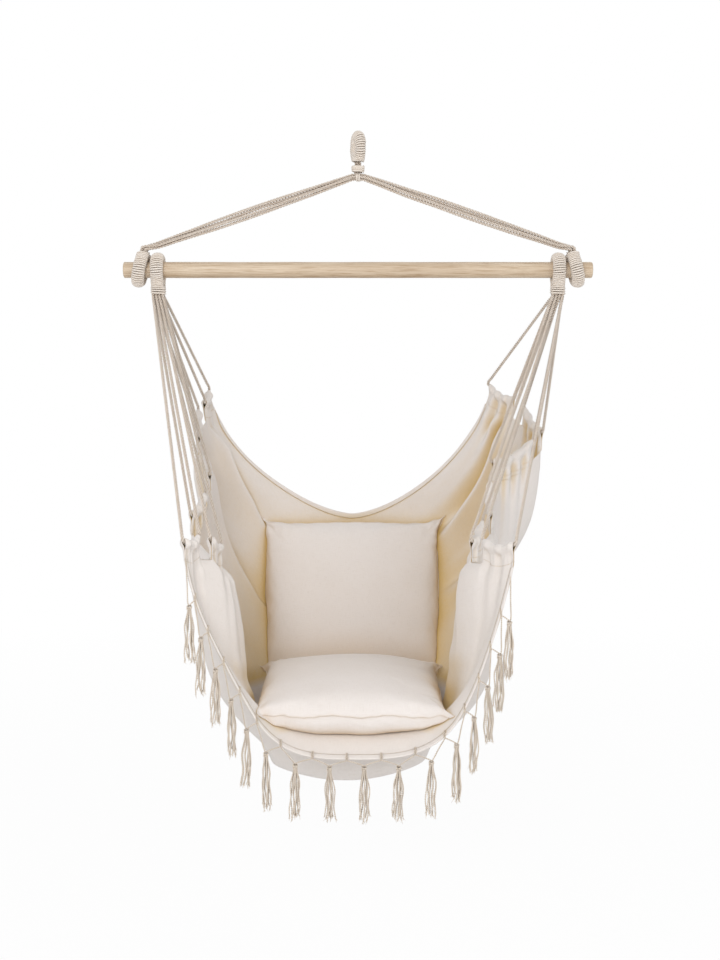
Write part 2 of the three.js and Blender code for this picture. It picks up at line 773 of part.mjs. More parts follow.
// One half of a row: from the end of the turned-down flap, over the cord, down the wall to the middle
function halfRow(sign, station) {
  const curve = wallCurve(sign, station);
  const { outward, over, stretch } = section(sign, Math.floor(station / 3));
  const rise = over[station % 3].clone().multiplyScalar(foldRadius * stretch[station % 3]);
  const shifted = (distance, half) => walk(curve, distance).addScaledVector(outward, half);
  const row = [shifted(CHANNEL_DEPTH, layerHalf), shifted(CHANNEL_DEPTH / 2, (layerHalf + foldRadius) / 2)];
  for (let i = FOLD_CELLS; i >= 0; i -= 1) {
    const angle = (Math.PI * i) / FOLD_CELLS;
    const place = curve[0].clone().addScaledVector(outward, -foldRadius * Math.cos(angle));
    row.push(place.addScaledVector(rise, Math.sin(angle)));
  }
  row.push(shifted(CHANNEL_DEPTH / 2, -(layerHalf + foldRadius) / 2));
  const total = lengthOf(curve);
  for (let i = 0; i < WALL_CELLS; i += 1) {
    const share = i / WALL_CELLS;
    row.push(shifted(CHANNEL_DEPTH + (total - CHANNEL_DEPTH) * share, -layerHalf * (1 - share)));
  }
  return { row, middle: curve[curve.length - 1] };
}

const HEM_COLUMNS = FOLD_CELLS + 4;

function slingGrid() {
  const grid = [];
  for (let station = 0; station < STATION_COUNT; station += 1) {
    const left = halfRow(-1, station);
    const right = halfRow(1, station);
    grid.push([...left.row, left.middle, ...right.row.reverse()]);
  }
  return grid;
}

// Between two channel sections the cloth is notched down to the channel's depth
function isNotch(row, column, columns) {
  const fromSide = Math.min(column, columns - 2 - column);
  return row % 3 === 2 && fromSide < HEM_COLUMNS;
}

function gridNormals(grid, isOpen) {
  const normals = grid.map((row) => row.map(() => new THREE.Vector3()));
  for (let r = 0; r + 1 < grid.length; r += 1) {
    for (let c = 0; c + 1 < grid[r].length; c += 1) {
      if (isOpen(r, c)) continue;
      const across = grid[r + 1][c + 1].clone().sub(grid[r][c]);
      const back = grid[r + 1][c].clone().sub(grid[r][c + 1]);
      const normal = back.cross(across).normalize().negate();
      for (const [i, j] of [[r, c], [r, c + 1], [r + 1, c], [r + 1, c + 1]]) normals[i][j].add(normal);
    }
  }
  return normals.map((row) => row.map((normal) => normal.normalize()));
}

// A closed solid between two layers of grid points, with some cells left open
function gridSolid(rows, columns, isOpen, pointAt) {
  const points = [];
  const triangles = [];
  const numbers = new Map();
  const number = (r, c, side) => {
    const key = `${r} ${c} ${side}`;
    if (!numbers.has(key)) {
      numbers.set(key, points.length);
      points.push(pointAt(r, c, side));
    }
    return numbers.get(key);
  };
  const closed = (r, c) => r >= 0 && c >= 0 && r + 1 < rows && c + 1 < columns && !isOpen(r, c);
  const quad = (a, b, c, d) => triangles.push(a, b, c, a, c, d);
  for (let r = 0; r + 1 < rows; r += 1) {
    for (let c = 0; c + 1 < columns; c += 1) {
      if (!closed(r, c)) continue;
      const corners = [[r, c], [r, c + 1], [r + 1, c + 1], [r + 1, c]];
      const outer = corners.map(([i, j]) => number(i, j, 1));
      const inner = corners.map(([i, j]) => number(i, j, -1));
      quad(...outer);
      quad(inner[0], inner[3], inner[2], inner[1]);
      const beyond = [closed(r - 1, c), closed(r, c + 1), closed(r + 1, c), closed(r, c - 1)];
      beyond.forEach((isClosed, side) => {
        const next = (side + 1) % 4;
        if (!isClosed) quad(outer[next], outer[side], inner[side], inner[next]);
      });
    }
  }
  return solidGeometry(points, triangles);
}

function shell(grid, isOpen, outerHalf, innerHalf) {
  const normals = gridNormals(grid, isOpen);
  const pointAt = (r, c, side) => (
    grid[r][c].clone().addScaledVector(normals[r][c], side > 0 ? outerHalf : -innerHalf)
  );
  return gridSolid(grid.length, grid[0].length, isOpen, pointAt);
}

const clothGrid = slingGrid();
const notched = (r, c) => isNotch(r, c, clothGrid[0].length);

add('sling', shell(clothGrid, notched, CLOTH / 2, CLOTH / 2), CANVAS);

// Seat necks: the bindings that the cord legs fan out from

const neckTop = BAR_DROP + SEAT_LOOP_NECK + WHIPPING_DIAMETER + LOOP_END_RISE;
const slotDrop = neckTop + SEAT_NECK_HEIGHT + SEAT_GAP;

function seatNeck(sign) {
  const border = CORD_DIAMETER / 2 + SEAT_NECK_MARGIN;
  const halfX = ((CORD_SLOT_COLUMNS - 1) * CORD_SLOT_SPACING) / 2 + border;
  const halfY = ((CORD_SLOT_ROWS - 1) * CORD_SLOT_SPACING) / 2 + border;
  const shape = new THREE.Shape();
  shape.moveTo(-halfX + border, -halfY);
  shape.absarc(halfX - border, -halfY + border, border, -Math.PI / 2, 0);
  shape.absarc(halfX - border, halfY - border, border, 0, Math.PI / 2);
  shape.absarc(-halfX + border, halfY - border, border, Math.PI / 2, Math.PI);
  shape.absarc(-halfX + border, -halfY + border, border, Math.PI, Math.PI * 1.5);
  const spec = { depth: SEAT_NECK_HEIGHT, bevelEnabled: false, curveSegments: 4 };
  const geometry = new THREE.ExtrudeGeometry(shape, spec);
  return geometry.translate(sign * SEAT_LOOP_X, 0, -neckTop - SEAT_NECK_HEIGHT);
}

// Seat cords: each leaves a neck, runs through one channel section and goes back to the neck

function cordEnds(sign) {
  const ends = [];
  for (let i = 0; i < SECTION_COUNT; i += 1) {
    const { points } = section(sign, i);
    ends.push({ cord: i, end: 0, point: points[0] }, { cord: i, end: 2, point: points[2] });
  }
  return ends;
}

function slant(sign, point) {
  return (point.x - sign * SEAT_LOOP_X) / (-slotDrop - point.z);
}

function slotPoints(sign) {
  const places = {};
  const ends = cordEnds(sign);
  for (let row = 0; row < CORD_SLOT_ROWS; row += 1) {
    const inRow = ends.slice(row * CORD_SLOT_COLUMNS, (row + 1) * CORD_SLOT_COLUMNS);
    inRow.sort((one, other) => slant(sign, one.point) - slant(sign, other.point));
    inRow.forEach(({ cord, end }, column) => {
      places[`${cord} ${end}`] = new THREE.Vector3(
        sign * SEAT_LOOP_X + (column - (CORD_SLOT_COLUMNS - 1) / 2) * CORD_SLOT_SPACING,
        ((CORD_SLOT_ROWS - 1) / 2 - row) * CORD_SLOT_SPACING,
        -slotDrop,
      );
    });
  }
  return places;
}

// The way from a slot down to a channel mouth
function cordLeg(slot, mouth, inner) {
  const out = mouth.clone().sub(inner).normalize();
  const level = out.clone().setZ(0).normalize();
  const exit = mouth.clone().addScaledVector(out, CORD_EXIT);
  const turn = mouth.clone().addScaledVector(level, CORD_FLARE).addScaledVector(UP, CORD_LEAD / 2);
  const lead = mouth.clone().addScaledVector(level, CORD_FLARE).addScaledVector(UP, CORD_LEAD);
  const drop = slot.clone().addScaledVector(UP, -CORD_DROP);
  return [slot, drop, drop.clone().lerp(lead, 0.5), lead, turn, exit];
}

function seatCord(sign, index, slots) {
  const [rear, middle, front] = section(sign, index).points;
  const down = cordLeg(slots[`${index} 0`], rear, middle);
  const up = cordLeg(slots[`${index} 2`], front, middle).reverse();
  return rope([...down, middle, ...up], CORD_DIAMETER, CORD_SIDES, 1);
}

for (const [side, sign] of SIDES) {
  add(`seat_neck_${side}`, seatNeck(sign), ROPE);
  const slots = slotPoints(sign);
  for (let i = 0; i < SECTION_COUNT; i += 1) {
    add(`seat_cord_${side}_${i + 1}`, seatCord(sign, i, slots), ROPE);
  }
}

// Cushions, shaped by the cloth they lean on

function cushionForm(upperHalf, lowerHalf, grow) {
  const half = CUSHION_SIDE / 2 + grow;
  const drawIn = CUSHION_DRAW_IN / half;
  const seam = CUSHION_SEAM / 2 + grow;
  const count = CUSHION_CELLS;
  const pointAt = (r, c, side) => {
    const u = Math.sin((Math.PI / 2) * ((2 * c) / count - 1));
    const v = Math.sin((Math.PI / 2) * (1 - (2 * r) / count));
    const swell = Math.sqrt((1 - u * u) * (1 - v * v));
    const height = side > 0 ? -seam - (lowerHalf - seam + grow) * swell : seam + (upperHalf - seam + grow) * swell;
    const x = half * u * (1 - drawIn * (1 - v * v));
    const y = half * v * (1 - drawIn * (1 - u * u));
    return new THREE.Vector3(x, y, height);
  };
  return gridSolid(count + 1, count + 1, () => false, pointAt);
}

function placeSeatCushion(geometry) {
  return geometry.rotateX(SEAT_CUSHION_TILT).translate(CUSHION_X, SEAT_CUSHION_Y, -SEAT_CUSHION_DROP);
}

function placeBackCushion(geometry) {
  return geometry.rotateX(BACK_CUSHION_LEAN).translate(CUSHION_X, BACK_CUSHION_Y, -BACK_CUSHION_DROP);
}

const bucketGrid = clothGrid.map((row) => row.slice(HEM_COLUMNS, row.length - HEM_COLUMNS));
const bucketSlab = toManifold(shell(bucketGrid, () => false, OVERRUN, CLOTH / 2 + SEAT_GAP));

const seatForm = toManifold(placeSeatCushion(cushionForm(CUSHION_UPPER_HALF, SEAT_CUSHION_LOWER_HALF, 0)));
const seatGrown = toManifold(
  placeSeatCushion(cushionForm(CUSHION_UPPER_HALF, SEAT_CUSHION_LOWER_HALF, SEAT_GAP)),
);
const backForm = toManifold(placeBackCushion(cushionForm(CUSHION_UPPER_HALF, CUSHION_LOWER_HALF, 0)));
const seatSweep = wasm.Manifold.hull([seatGrown, seatGrown.translate(0, 0, -CUSHION_SIDE)]);

add('seat_cushion', fromManifold(largestBody(seatForm.subtract(bucketSlab))), CUSHION_CLOTH);
add('back_cushion', fromManifold(largestBody(backForm.subtract(bucketSlab).subtract(seatSweep))), CUSHION_CLOTH);

// Fringe: one cord in a zigzag along the front hem, and a tassel under each low point

const lastRow = clothGrid[clothGrid.length - 1];
const rowBefore = clothGrid[clothGrid.length - 2];
const hemLine = lastRow.slice(HEM_COLUMNS, lastRow.length - HEM_COLUMNS);
const hemInner = rowBefore.slice(HEM_COLUMNS, rowBefore.length - HEM_COLUMNS);

function hemPoint(distance) {
  const point = walk(hemLine, distance);
  const ahead = walk(hemLine, distance + FRINGE_CORD_DIAMETER);
  const tangent = ahead.sub(point).normalize();
  const share = (distance / lengthOf(hemLine)) * (hemLine.length - 1);
  const near = hemLine.length > share + 1 ? Math.round(share) : hemLine.length - 1;
  const beyond = hemLine[near].clone().sub(hemInner[near]).normalize();
  return { point, tangent, beyond };
}

// Stitches on the hem, with a short flat bend of cord hanging between each two
function fringeWay() {
  const span = lengthOf(hemLine) - FRINGE_START - FRINGE_END;
  const reach = FRINGE_CORD_DIAMETER / 2 + SEAT_GAP;
  const place = (i) => hemPoint(FRINGE_START + (span * i) / (2 * TASSEL_COUNT));
  const stitch = (i) => {
    const { point, beyond } = place(2 * i);
    return point.addScaledVector(beyond, reach);
  };
  const way = [stitch(0)];
  const bends = [];
  for (let i = 0; i < TASSEL_COUNT; i += 1) {
    const next = stitch(i + 1);
    const { point, tangent, beyond } = place(2 * i + 1);
    const out = new THREE.Vector3(tangent.z, 0, -tangent.x).normalize();
    const bend = point.addScaledVector(beyond, reach).addScaledVector(out, FRINGE_OUT);
    bend.y -= FRINGE_FORWARD;
    bend.z = Math.min(next.z, way[way.length - 1].z) - FRINGE_DROP;
    const before = bend.clone().addScaledVector(ALONG_BAR, -FRINGE_BEND);
    const after = bend.clone().addScaledVector(ALONG_BAR, FRINGE_BEND);
    way.push(before, after, next);
    bends.push(bend);
  }
  return { way, bends };
}

function tassel(top) {
  const profile = TASSEL_SHARES.map(([along, wide]) => (
    new THREE.Vector2(wide * TASSEL_SKIRT_RADIUS, -along * TASSEL_LENGTH)
  ));
  profile.unshift(new THREE.Vector2(0, 0));
  profile.push(new THREE.Vector2(0, -TASSEL_LENGTH));
  const geometry = upright(new THREE.LatheGeometry(profile.reverse(), TASSEL_SIDES));
  return geometry.translate(top.x, top.y, top.z);
}

const fringe = fringeWay();
add('fringe_cord', rope(fringe.way, FRINGE_CORD_DIAMETER, FRINGE_CORD_SIDES, 1), FRINGE);

fringe.bends.forEach((bend, i) => {
  const top = bend.clone().addScaledVector(UP, -FRINGE_CORD_DIAMETER / 2 - SEAT_GAP);
  add(`tassel_${String(i + 1).padStart(2, '0')}`, tassel(top), FRINGE);
});

export default chair;
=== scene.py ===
import math

import bpy
import numpy as np
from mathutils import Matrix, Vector, noise
from mathutils.bvhtree import BVHTree


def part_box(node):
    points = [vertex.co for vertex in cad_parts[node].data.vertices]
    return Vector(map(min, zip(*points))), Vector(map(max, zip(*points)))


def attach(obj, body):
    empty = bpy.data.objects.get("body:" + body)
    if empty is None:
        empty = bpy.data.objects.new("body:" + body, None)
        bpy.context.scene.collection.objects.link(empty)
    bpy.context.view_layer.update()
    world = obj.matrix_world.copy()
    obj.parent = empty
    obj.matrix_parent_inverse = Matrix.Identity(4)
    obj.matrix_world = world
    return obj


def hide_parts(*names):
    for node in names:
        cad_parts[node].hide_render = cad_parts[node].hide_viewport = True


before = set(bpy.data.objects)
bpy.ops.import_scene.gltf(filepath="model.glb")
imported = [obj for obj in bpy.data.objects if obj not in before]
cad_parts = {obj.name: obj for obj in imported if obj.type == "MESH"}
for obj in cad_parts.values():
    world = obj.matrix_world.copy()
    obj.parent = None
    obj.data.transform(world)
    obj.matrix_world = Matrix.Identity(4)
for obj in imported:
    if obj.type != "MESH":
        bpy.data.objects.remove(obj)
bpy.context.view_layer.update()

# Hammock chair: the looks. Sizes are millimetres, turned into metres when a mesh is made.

MM = 0.001

# Camera, at the photograph's view

TARGET = (0.0043, 0.0, -0.72)
DISTANCE = 3.0
ELEVATION = math.radians(5)
LENS = 69.3
SENSOR = 36.0


def make_camera():
    data = bpy.data.cameras.new("camera")
    data.lens = LENS
    data.sensor_width = SENSOR
    data.sensor_fit = "HORIZONTAL"
    camera = bpy.data.objects.new("camera", data)
    bpy.context.collection.objects.link(camera)
    offset = Vector((0, -math.cos(ELEVATION), math.sin(ELEVATION))) * DISTANCE
    camera.location = Vector(TARGET) + offset
    camera.rotation_euler = (-offset).to_track_quat("-Z", "Y").to_euler()
    bpy.context.scene.camera = camera


make_camera()

# Sizes shared with the solids

CORD_RADIUS = 3.0
WHIPPING = 4.0
NECK_DROP = 46.0
SEIZING_HEIGHT = 19.0
BUNDLE_DROP = 73.85
BAR_LENGTH = 1000.0
BAR_RADIUS = 17.0
BAR_DROP = 269.7
BEARING_X = 464.0
BEARING_NECK = 33.0
BEARING_LEAN = 0.2
SEAT_LOOP_X = 427.0
SEAT_LOOP_NECK = 34.0
LOOP_RADIUS = 27.35
LOOP_NECK_HALF = 10.7
LOOP_RADIAL_HALF = 10.0
LOOP_AXIAL_HALF = 14.0
NECK_TOP = 309.9
NECK_HEIGHT = 9.0
SLOT_DROP = 319.25
SLOT_SPACING = 6.8
SLOT_COLUMNS = 4
SLOT_ROWS = 3
STRAND_SPACING = 6.6

HALF_SPAN = 410.0
HALF_DEPTH = 330.0
SEAT_SHIFT = -77.0
EDGE_TOP = -535.0
EDGE_FALL = 275.0
BACK_HEM = -825.0
BUCKET_DEPTH = 521.0
CHANNEL_SAG = 13.0
CHANNEL_DEPTH = 44.0
SECTIONS = 6
SECTION_SHARE = 0.145
NOTCH_SHARE = 0.026
PITCH_SHARE = SECTION_SHARE + NOTCH_SHARE
FOLD_RADIUS = 5.25
LAYER_HALF = 1.1
CLOTH = 1.6

LEFT_EDGE = [
    (0.85, 1.0, 0.0), (0.855, 0.79, 0.08), (0.885, 0.71, 0.15), (0.865, 0.5, 0.34),
    (0.82, 0.41, 0.5), (0.78, 0.2, 0.62), (0.8, 0.1, 0.77), (0.85, -0.1, 0.9),
    (0.68, -0.36, 1.1), (0.71, -0.6, 1.0), (0.76, -0.68, 0.98), (0.81, -0.88, 0.98),
]
RIGHT_EDGE = [
    (0.75, 1.0, -0.05), (0.87, 0.82, 0.05), (0.92, 0.73, 0.12), (1.0, 0.54, 0.31),
    (0.94, 0.46, 0.38), (0.71, 0.27, 0.53), (0.69, 0.17, 0.69), (0.68, -0.06, 0.9),
    (0.63, -0.16, 0.95), (0.56, -0.42, 1.05), (0.61, -0.56, 1.03), (0.73, -0.88, 1.0),
]
LEFT_WALL = [0.85, 0.857, 0.858, 0.83, 0.77, 0.6]
RIGHT_WALL = [0.78, 0.82, 0.82, 0.73, 0.67, 0.6]
ROUNDNESS = [1.55, 2.2, 2.55, 2.6, 3.2]
FOLD_STARTS = [0.35, 0.35, 0.3, 0.0]
FOLD_ENDS = [0.95, 0.95, 0.92, 0.8]
MIDDLE_LINE = [
    (-0.034, 1.06, 0.0), (-0.04, 1.04, 0.2), (-0.045, 0.98, 0.42), (-0.05, 0.86, 0.62),
    (-0.06, 0.66, 0.8), (-0.06, 0.34, 0.915), (-0.06, 0.0, 0.975), (-0.055, -0.3, 0.97),
    (-0.04, -0.5, 0.85), (-0.02, -0.6, 0.725), (-0.02, -0.8, 0.79),
]
SIDES = (("left", -1), ("right", 1))
UP = np.array((0.0, 0.0, 1.0))
ALONG_BAR = np.array((1.0, 0.0, 0.0))

# Small tools for numbers and lines


def unit(vector):
    return vector / np.linalg.norm(vector)


def smooth(low, high, value):
    share = np.clip((value - low) / (high - low), 0, 1)
    return share * share * (3 - 2 * share)


def read_table(table, share):
    place = min(max(share, 0), 1) * (len(table) - 1)
    low = min(int(place), len(table) - 2)
    part = place - low
    return table[low] + (table[low + 1] - table[low]) * part * part * (3 - 2 * part)


def catmull(points, steps):
    """A centripetal curve through the points, with some steps between each two."""
    points = np.asarray(points, float)
    ends = np.vstack([2 * points[0] - points[1], points, 2 * points[-1] - points[-2]])
    out = []
    for i in range(len(points) - 1):
        p = ends[i:i + 4]
        gaps = [max(np.linalg.norm(p[j + 1] - p[j]) ** 0.5, 1e-6) for j in range(3)]
        slope_a = (p[1] - p[0]) / gaps[0] - (p[2] - p[0]) / (gaps[0] + gaps[1]) + (p[2] - p[1]) / gaps[1]
        slope_b = (p[2] - p[1]) / gaps[1] - (p[3] - p[1]) / (gaps[1] + gaps[2]) + (p[3] - p[2]) / gaps[2]
        slope_a, slope_b = slope_a * gaps[1], slope_b * gaps[1]
        for k in range(steps):
            t = k / steps
            out.append(p[1] + slope_a * t
                       + (-3 * p[1] + 3 * p[2] - 2 * slope_a - slope_b) * t * t
                       + (2 * p[1] - 2 * p[2] + slope_a + slope_b) * t ** 3)
    out.append(points[-1])
    return np.array(out)


def lengths(points):
    return np.concatenate([[0], np.cumsum(np.linalg.norm(np.diff(points, axis=0), axis=1))])


def at_lengths(points, wanted):
    run = lengths(points)
    return np.stack([np.interp(wanted, run, points[:, k]) for k in range(3)], axis=1)


def even(points, spacing):
    total = lengths(points)[-1]
    return at_lengths(points, np.linspace(0, total, max(int(total / spacing), 2) + 1))


def carried_frames(points):
    """Tangents and two cross directions carried along a line without twist."""
    tangents = np.gradient(points, axis=0)
    tangents /= np.linalg.norm(tangents, axis=1, keepdims=True)
    first = np.cross(tangents[0], UP if abs(tangents[0][2]) < 0.9 else ALONG_BAR)
    across = [unit(first)]
    for tangent in tangents[1:]:
        side = across[-1] - tangent * np.dot(across[-1], tangent)
        across.append(unit(side))
    across = np.array(across)
    return tangents, across, np.cross(tangents, across)


# Mesh making


def make_mesh(name, points, faces, material, body=None, replaces=(), slot=None, uvs=None):
    mesh = bpy.data.meshes.new(name)
    mesh.from_pydata((np.asarray(points) * MM).tolist(), [], [list(map(int, face)) for face in faces])
    mesh.validate()
    mesh.polygons.foreach_set("use_smooth", [True] * len(mesh.polygons))
    mesh.materials.append(material)
    if uvs is not None:
        layer = mesh.uv_layers.new(name="cloth")
        corners = np.empty(len(mesh.loops), int)
        mesh.loops.foreach_get("vertex_index", corners)
        layer.data.foreach_set("uv", np.asarray(uvs, np.float32)[corners].ravel())
    obj = bpy.data.objects.new(name, mesh)
    bpy.context.collection.objects.link(obj)
    if body:
        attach(obj, body)
    if replaces:
        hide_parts(*replaces)
    return obj


def ring_faces(rings, sides, start=0):
    faces = []
    for i in range(rings - 1):
        for j in range(sides):
            a = start + i * sides + j
            b = start + i * sides + (j + 1) % sides
            faces.append((a, b, b + sides, a + sides))
    faces.append(tuple(start + j for j in reversed(range(sides))))
    faces.append(tuple(start + (rings - 1) * sides + j for j in range(sides)))
    return faces


def tube(points, radius, sides, lobes=0, lay=0.0, phase=0.0):
    """A tube along a line. With lobes it is a laid rope of that many strands; lay is one turn's length."""
    points = np.asarray(points)
    radius = np.broadcast_to(radius, len(points))
    tangents, across, over = carried_frames(points)
    run = lengths(points)
    angles = np.arange(sides) * 2 * math.pi / sides
    shape = lobe_shape(angles, lobes)
    turn = phase + (2 * math.pi * run / lay if lay else np.zeros(len(points)))
    spin = angles[None, :] + turn[:, None]
    reach = radius[:, None] * shape[None, :]
    ring = (across[:, None, :] * (np.cos(spin) * reach)[:, :, None]
            + over[:, None, :] * (np.sin(spin) * reach)[:, :, None])
    verts = (points[:, None, :] + ring).reshape(-1, 3)
    return verts, ring_faces(len(points), sides)


def lobe_shape(angles, lobes):
    """Outline of round strands lying side by side, as a share of the outer radius."""
    if not lobes:
        return np.ones(len(angles))
    half = math.pi / lobes
    far = 1 / (1 + math.sin(half))
    near = 1 - far
    turn = (angles + half) % (2 * half) - half
    inside = np.maximum(near * near - (far * np.sin(turn)) ** 2, 0)
    return np.maximum(far * np.cos(turn) + np.sqrt(inside), far * math.cos(half) * 1.02)


def join(parts):
    """Several (points, faces) as one."""
    points, faces, start = [], [], 0
    for part_points, part_faces in parts:
        points.append(part_points)
        faces.extend(tuple(index + start for index in face) for face in part_faces)
        start += len(part_points)
    return np.vstack(points), faces


# Materials


class Nodes:
    """A material's node tree, with short ways to add and join nodes."""

    def __init__(self, name):
        self.material = bpy.data.materials.new(name)
        self.material.use_nodes = True
        self.tree = self.material.node_tree
        self.shader = self.tree.nodes["Principled BSDF"]

    def add(self, kind, inputs=None, **settings):
        node = self.tree.nodes.new("ShaderNode" + kind)
        for key, value in settings.items():
            setattr(node, key, value)
        for key, value in (inputs or {}).items():
            if hasattr(value, "is_output"):
                self.tree.links.new(value, node.inputs[key])
            else:
                node.inputs[key].default_value = value
        return node

    def link(self, output, target):
        self.tree.links.new(output, target)

    def math(self, operation, first, second):
        return self.add("Math", {0: first, 1: second}, operation=operation).outputs[0]

    def ramp(self, factor, stops):
        node = self.add("ValToRGB", {"Fac": factor})
        ramp = node.color_ramp
        while len(ramp.elements) < len(stops):
            ramp.elements.new(0.5)
        for element, (place, colour) in zip(ramp.elements, stops):
            element.position = place
            element.color = (*colour, 1)
        return node.outputs["Color"]

    def mix(self, factor, first, second, blend="MIX"):
        node = self.add("Mix", {"Factor": factor, 6: first, 7: second}, data_type="RGBA", blend_type=blend)
        return node.outputs[2]

    def bump(self, height, strength, distance, normal=None):
        inputs = {"Height": height, "Strength": strength, "Distance": distance}
        if normal is not None:
            inputs["Normal"] = normal
        return self.add("Bump", inputs).outputs["Normal"]


def noise_value(nodes, vector, scale, detail=3.0, roughness=0.55):
    return nodes.add("TexNoise", {"Vector": vector, "Scale": scale, "Detail": detail,
                                  "Roughness": roughness}).outputs["Fac"]


def weave_height(nodes, vector, threads):
    """Plain weave: two sets of threads that pass over and under each other."""
    split = nodes.add("SeparateXYZ", {0: vector})
    along = nodes.math("MULTIPLY", split.outputs[0], threads * math.pi)
    across = nodes.math("MULTIPLY", split.outputs[1], threads * math.pi)
    warp = nodes.math("ABSOLUTE", nodes.math("SINE", along, 0.0), 0.0)
    weft = nodes.math("ABSOLUTE", nodes.math("SINE", across, 0.0), 0.0)
    half = nodes.math("MULTIPLY", nodes.math("SINE", along, 0.0), nodes.math("SINE", across, 0.0))
    side = nodes.math("GREATER_THAN", half, 0.0)
    difference = nodes.math("MULTIPLY", nodes.math("SUBTRACT", warp, weft), side)
    return nodes.math("ADD", weft, difference)


def cloth_material(name, base, deep, threads, reach, stops, levels):
    """Plain canvas: fine threads, a few thick or dark ones, and a painted warm shade where light hardly reaches."""
    nodes = Nodes(name)
    flat = nodes.add("TexCoord").outputs["UV"]
    space = nodes.add("TexCoord").outputs["Object"]
    weave = weave_height(nodes, flat, threads)
    slub = nodes.add("Mapping", {"Vector": flat, "Scale": (60.0, 1300.0, 1.0)}).outputs["Vector"]
    slub_up = nodes.add("Mapping", {"Vector": flat, "Scale": (1300.0, 60.0, 1.0)}).outputs["Vector"]
    yarn = nodes.math("ADD", noise_value(nodes, slub, 1.0, 2.0), noise_value(nodes, slub_up, 1.0, 2.0))
    shade = nodes.ramp(yarn, [(0.66, (0.93, 0.915, 0.895)), (1.0, (1.0, 1.0, 1.0))])
    # Painted shade: where ambient occlusion finds little open space, the base colour turns to the deep, golden shade
    # colour; below the given levels this painted shade fades out.
    openness = nodes.add("AmbientOcclusion", {"Distance": reach}, samples=8).outputs["AO"]
    height = nodes.add("SeparateXYZ", {0: space}).outputs["Z"]
    below = nodes.add("MapRange", {"Value": height, "From Min": levels[0], "From Max": levels[1],
                                   "To Min": 1.0, "To Max": 0.0}).outputs["Result"]
    openness = nodes.math("MAXIMUM", openness, nodes.math("MULTIPLY", below, 0.9))
    colour = nodes.ramp(openness, [(stops[0], deep), (stops[1], base)])
    colour = nodes.mix(1.0, colour, shade, "MULTIPLY")
    clouds = noise_value(nodes, space, 5.0, 3.0)
    tint = nodes.ramp(clouds, [(0.3, (0.97, 0.96, 0.945)), (0.7, (1.0, 1.0, 1.0))])
    colour = nodes.mix(1.0, colour, tint, "MULTIPLY")
    flecks = nodes.add("TexVoronoi", {"Vector": flat, "Scale": 420.0, "Randomness": 1.0})
    rare = noise_value(nodes, flat, 130.0, 1.0)
    spot = nodes.math("LESS_THAN", flecks.outputs["Distance"], 0.16)
    spot = nodes.math("MULTIPLY", spot, nodes.math("GREATER_THAN", rare, 0.6))
    colour = nodes.mix(nodes.math("MULTIPLY", spot, 0.4), colour, (0.42, 0.33, 0.24, 1))
    raised = nodes.math("ADD", nodes.math("MULTIPLY", weave, 0.8), nodes.math("MULTIPLY", yarn, 0.7))
    crumple = noise_value(nodes, space, 30.0, 4.0)
    normal = nodes.bump(crumple, 0.22, 0.006)
    normal = nodes.bump(raised, 0.3, 0.0005, normal)
    shader = nodes.shader
    nodes.link(colour, shader.inputs["Base Color"])
    nodes.link(normal, shader.inputs["Normal"])
    shader.inputs["Roughness"].default_value = 0.92
    shader.inputs["Sheen Weight"].default_value = 0.2
    shader.inputs["Sheen Roughness"].default_value = 0.6
    shader.inputs["Specular IOR Level"].default_value = 0.2
    return nodes.material


def yarn_material(name, base, dark, scale):
    nodes = Nodes(name)
    space = nodes.add("TexCoord").outputs["Object"]
    fibres = noise_value(nodes, space, scale, 5.0, 0.7)
    broad = noise_value(nodes, space, scale * 0.06, 2.0)
    colour = nodes.ramp(fibres, [(0.3, dark), (0.62, base)])
    tint = nodes.ramp(broad, [(0.3, (0.95, 0.93, 0.90)), (0.7, (1.0, 1.0, 1.0))])
    colour = nodes.mix(1.0, colour, tint, "MULTIPLY")
    # Painted shade: ambient occlusion darkens the colour to brown in the crevices between strands and turns.
    openness = nodes.add("AmbientOcclusion", {"Distance": 0.004}, samples=6).outputs["AO"]
    painted_crevice_shade = nodes.ramp(openness, [(0.3, (0.46, 0.36, 0.26)), (0.74, (1.0, 1.0, 1.0))])
    colour = nodes.mix(1.0, colour, painted_crevice_shade, "MULTIPLY")
    normal = nodes.bump(fibres, 0.5, 0.0006)
    shader = nodes.shader
    nodes.link(colour, shader.inputs["Base Color"])
    nodes.link(normal, shader.inputs["Normal"])
    shader.inputs["Roughness"].default_value = 0.95
    shader.inputs["Sheen Weight"].default_value = 0.3
    shader.inputs["Specular IOR Level"].default_value = 0.15
    return nodes.material


def beech_material():
    nodes = Nodes("beech")
    space = nodes.add("TexCoord").outputs["Object"]
    long = nodes.add("Mapping", {"Vector": space, "Scale": (1.2, 26.0, 26.0)}).outputs["Vector"]
    bands = nodes.add("TexNoise", {"Vector": long, "Scale": 1.6, "Detail": 4.0, "Distortion": 1.4}).outputs["Fac"]
    fine = nodes.add("Mapping", {"Vector": space, "Scale": (14.0, 420.0, 420.0)}).outputs["Vector"]
    pores = noise_value(nodes, fine, 1.0, 3.0, 0.7)
    colour = nodes.ramp(bands, [(0.3, (0.50, 0.38, 0.26)), (0.5, (0.60, 0.48, 0.35)), (0.72, (0.66, 0.55, 0.42))])
    flecks = nodes.ramp(pores, [(0.36, (0.72, 0.64, 0.55)), (0.52, (1.0, 1.0, 1.0))])
    colour = nodes.mix(1.0, colour, flecks, "MULTIPLY")
    shader = nodes.shader
    nodes.link(colour, shader.inputs["Base Color"])
    rough = nodes.math("ADD", nodes.math("MULTIPLY", pores, 0.2), 0.38)
    nodes.link(rough, shader.inputs["Roughness"])
    nodes.link(nodes.bump(pores, 0.25, 0.0004), shader.inputs["Normal"])
    return nodes.material
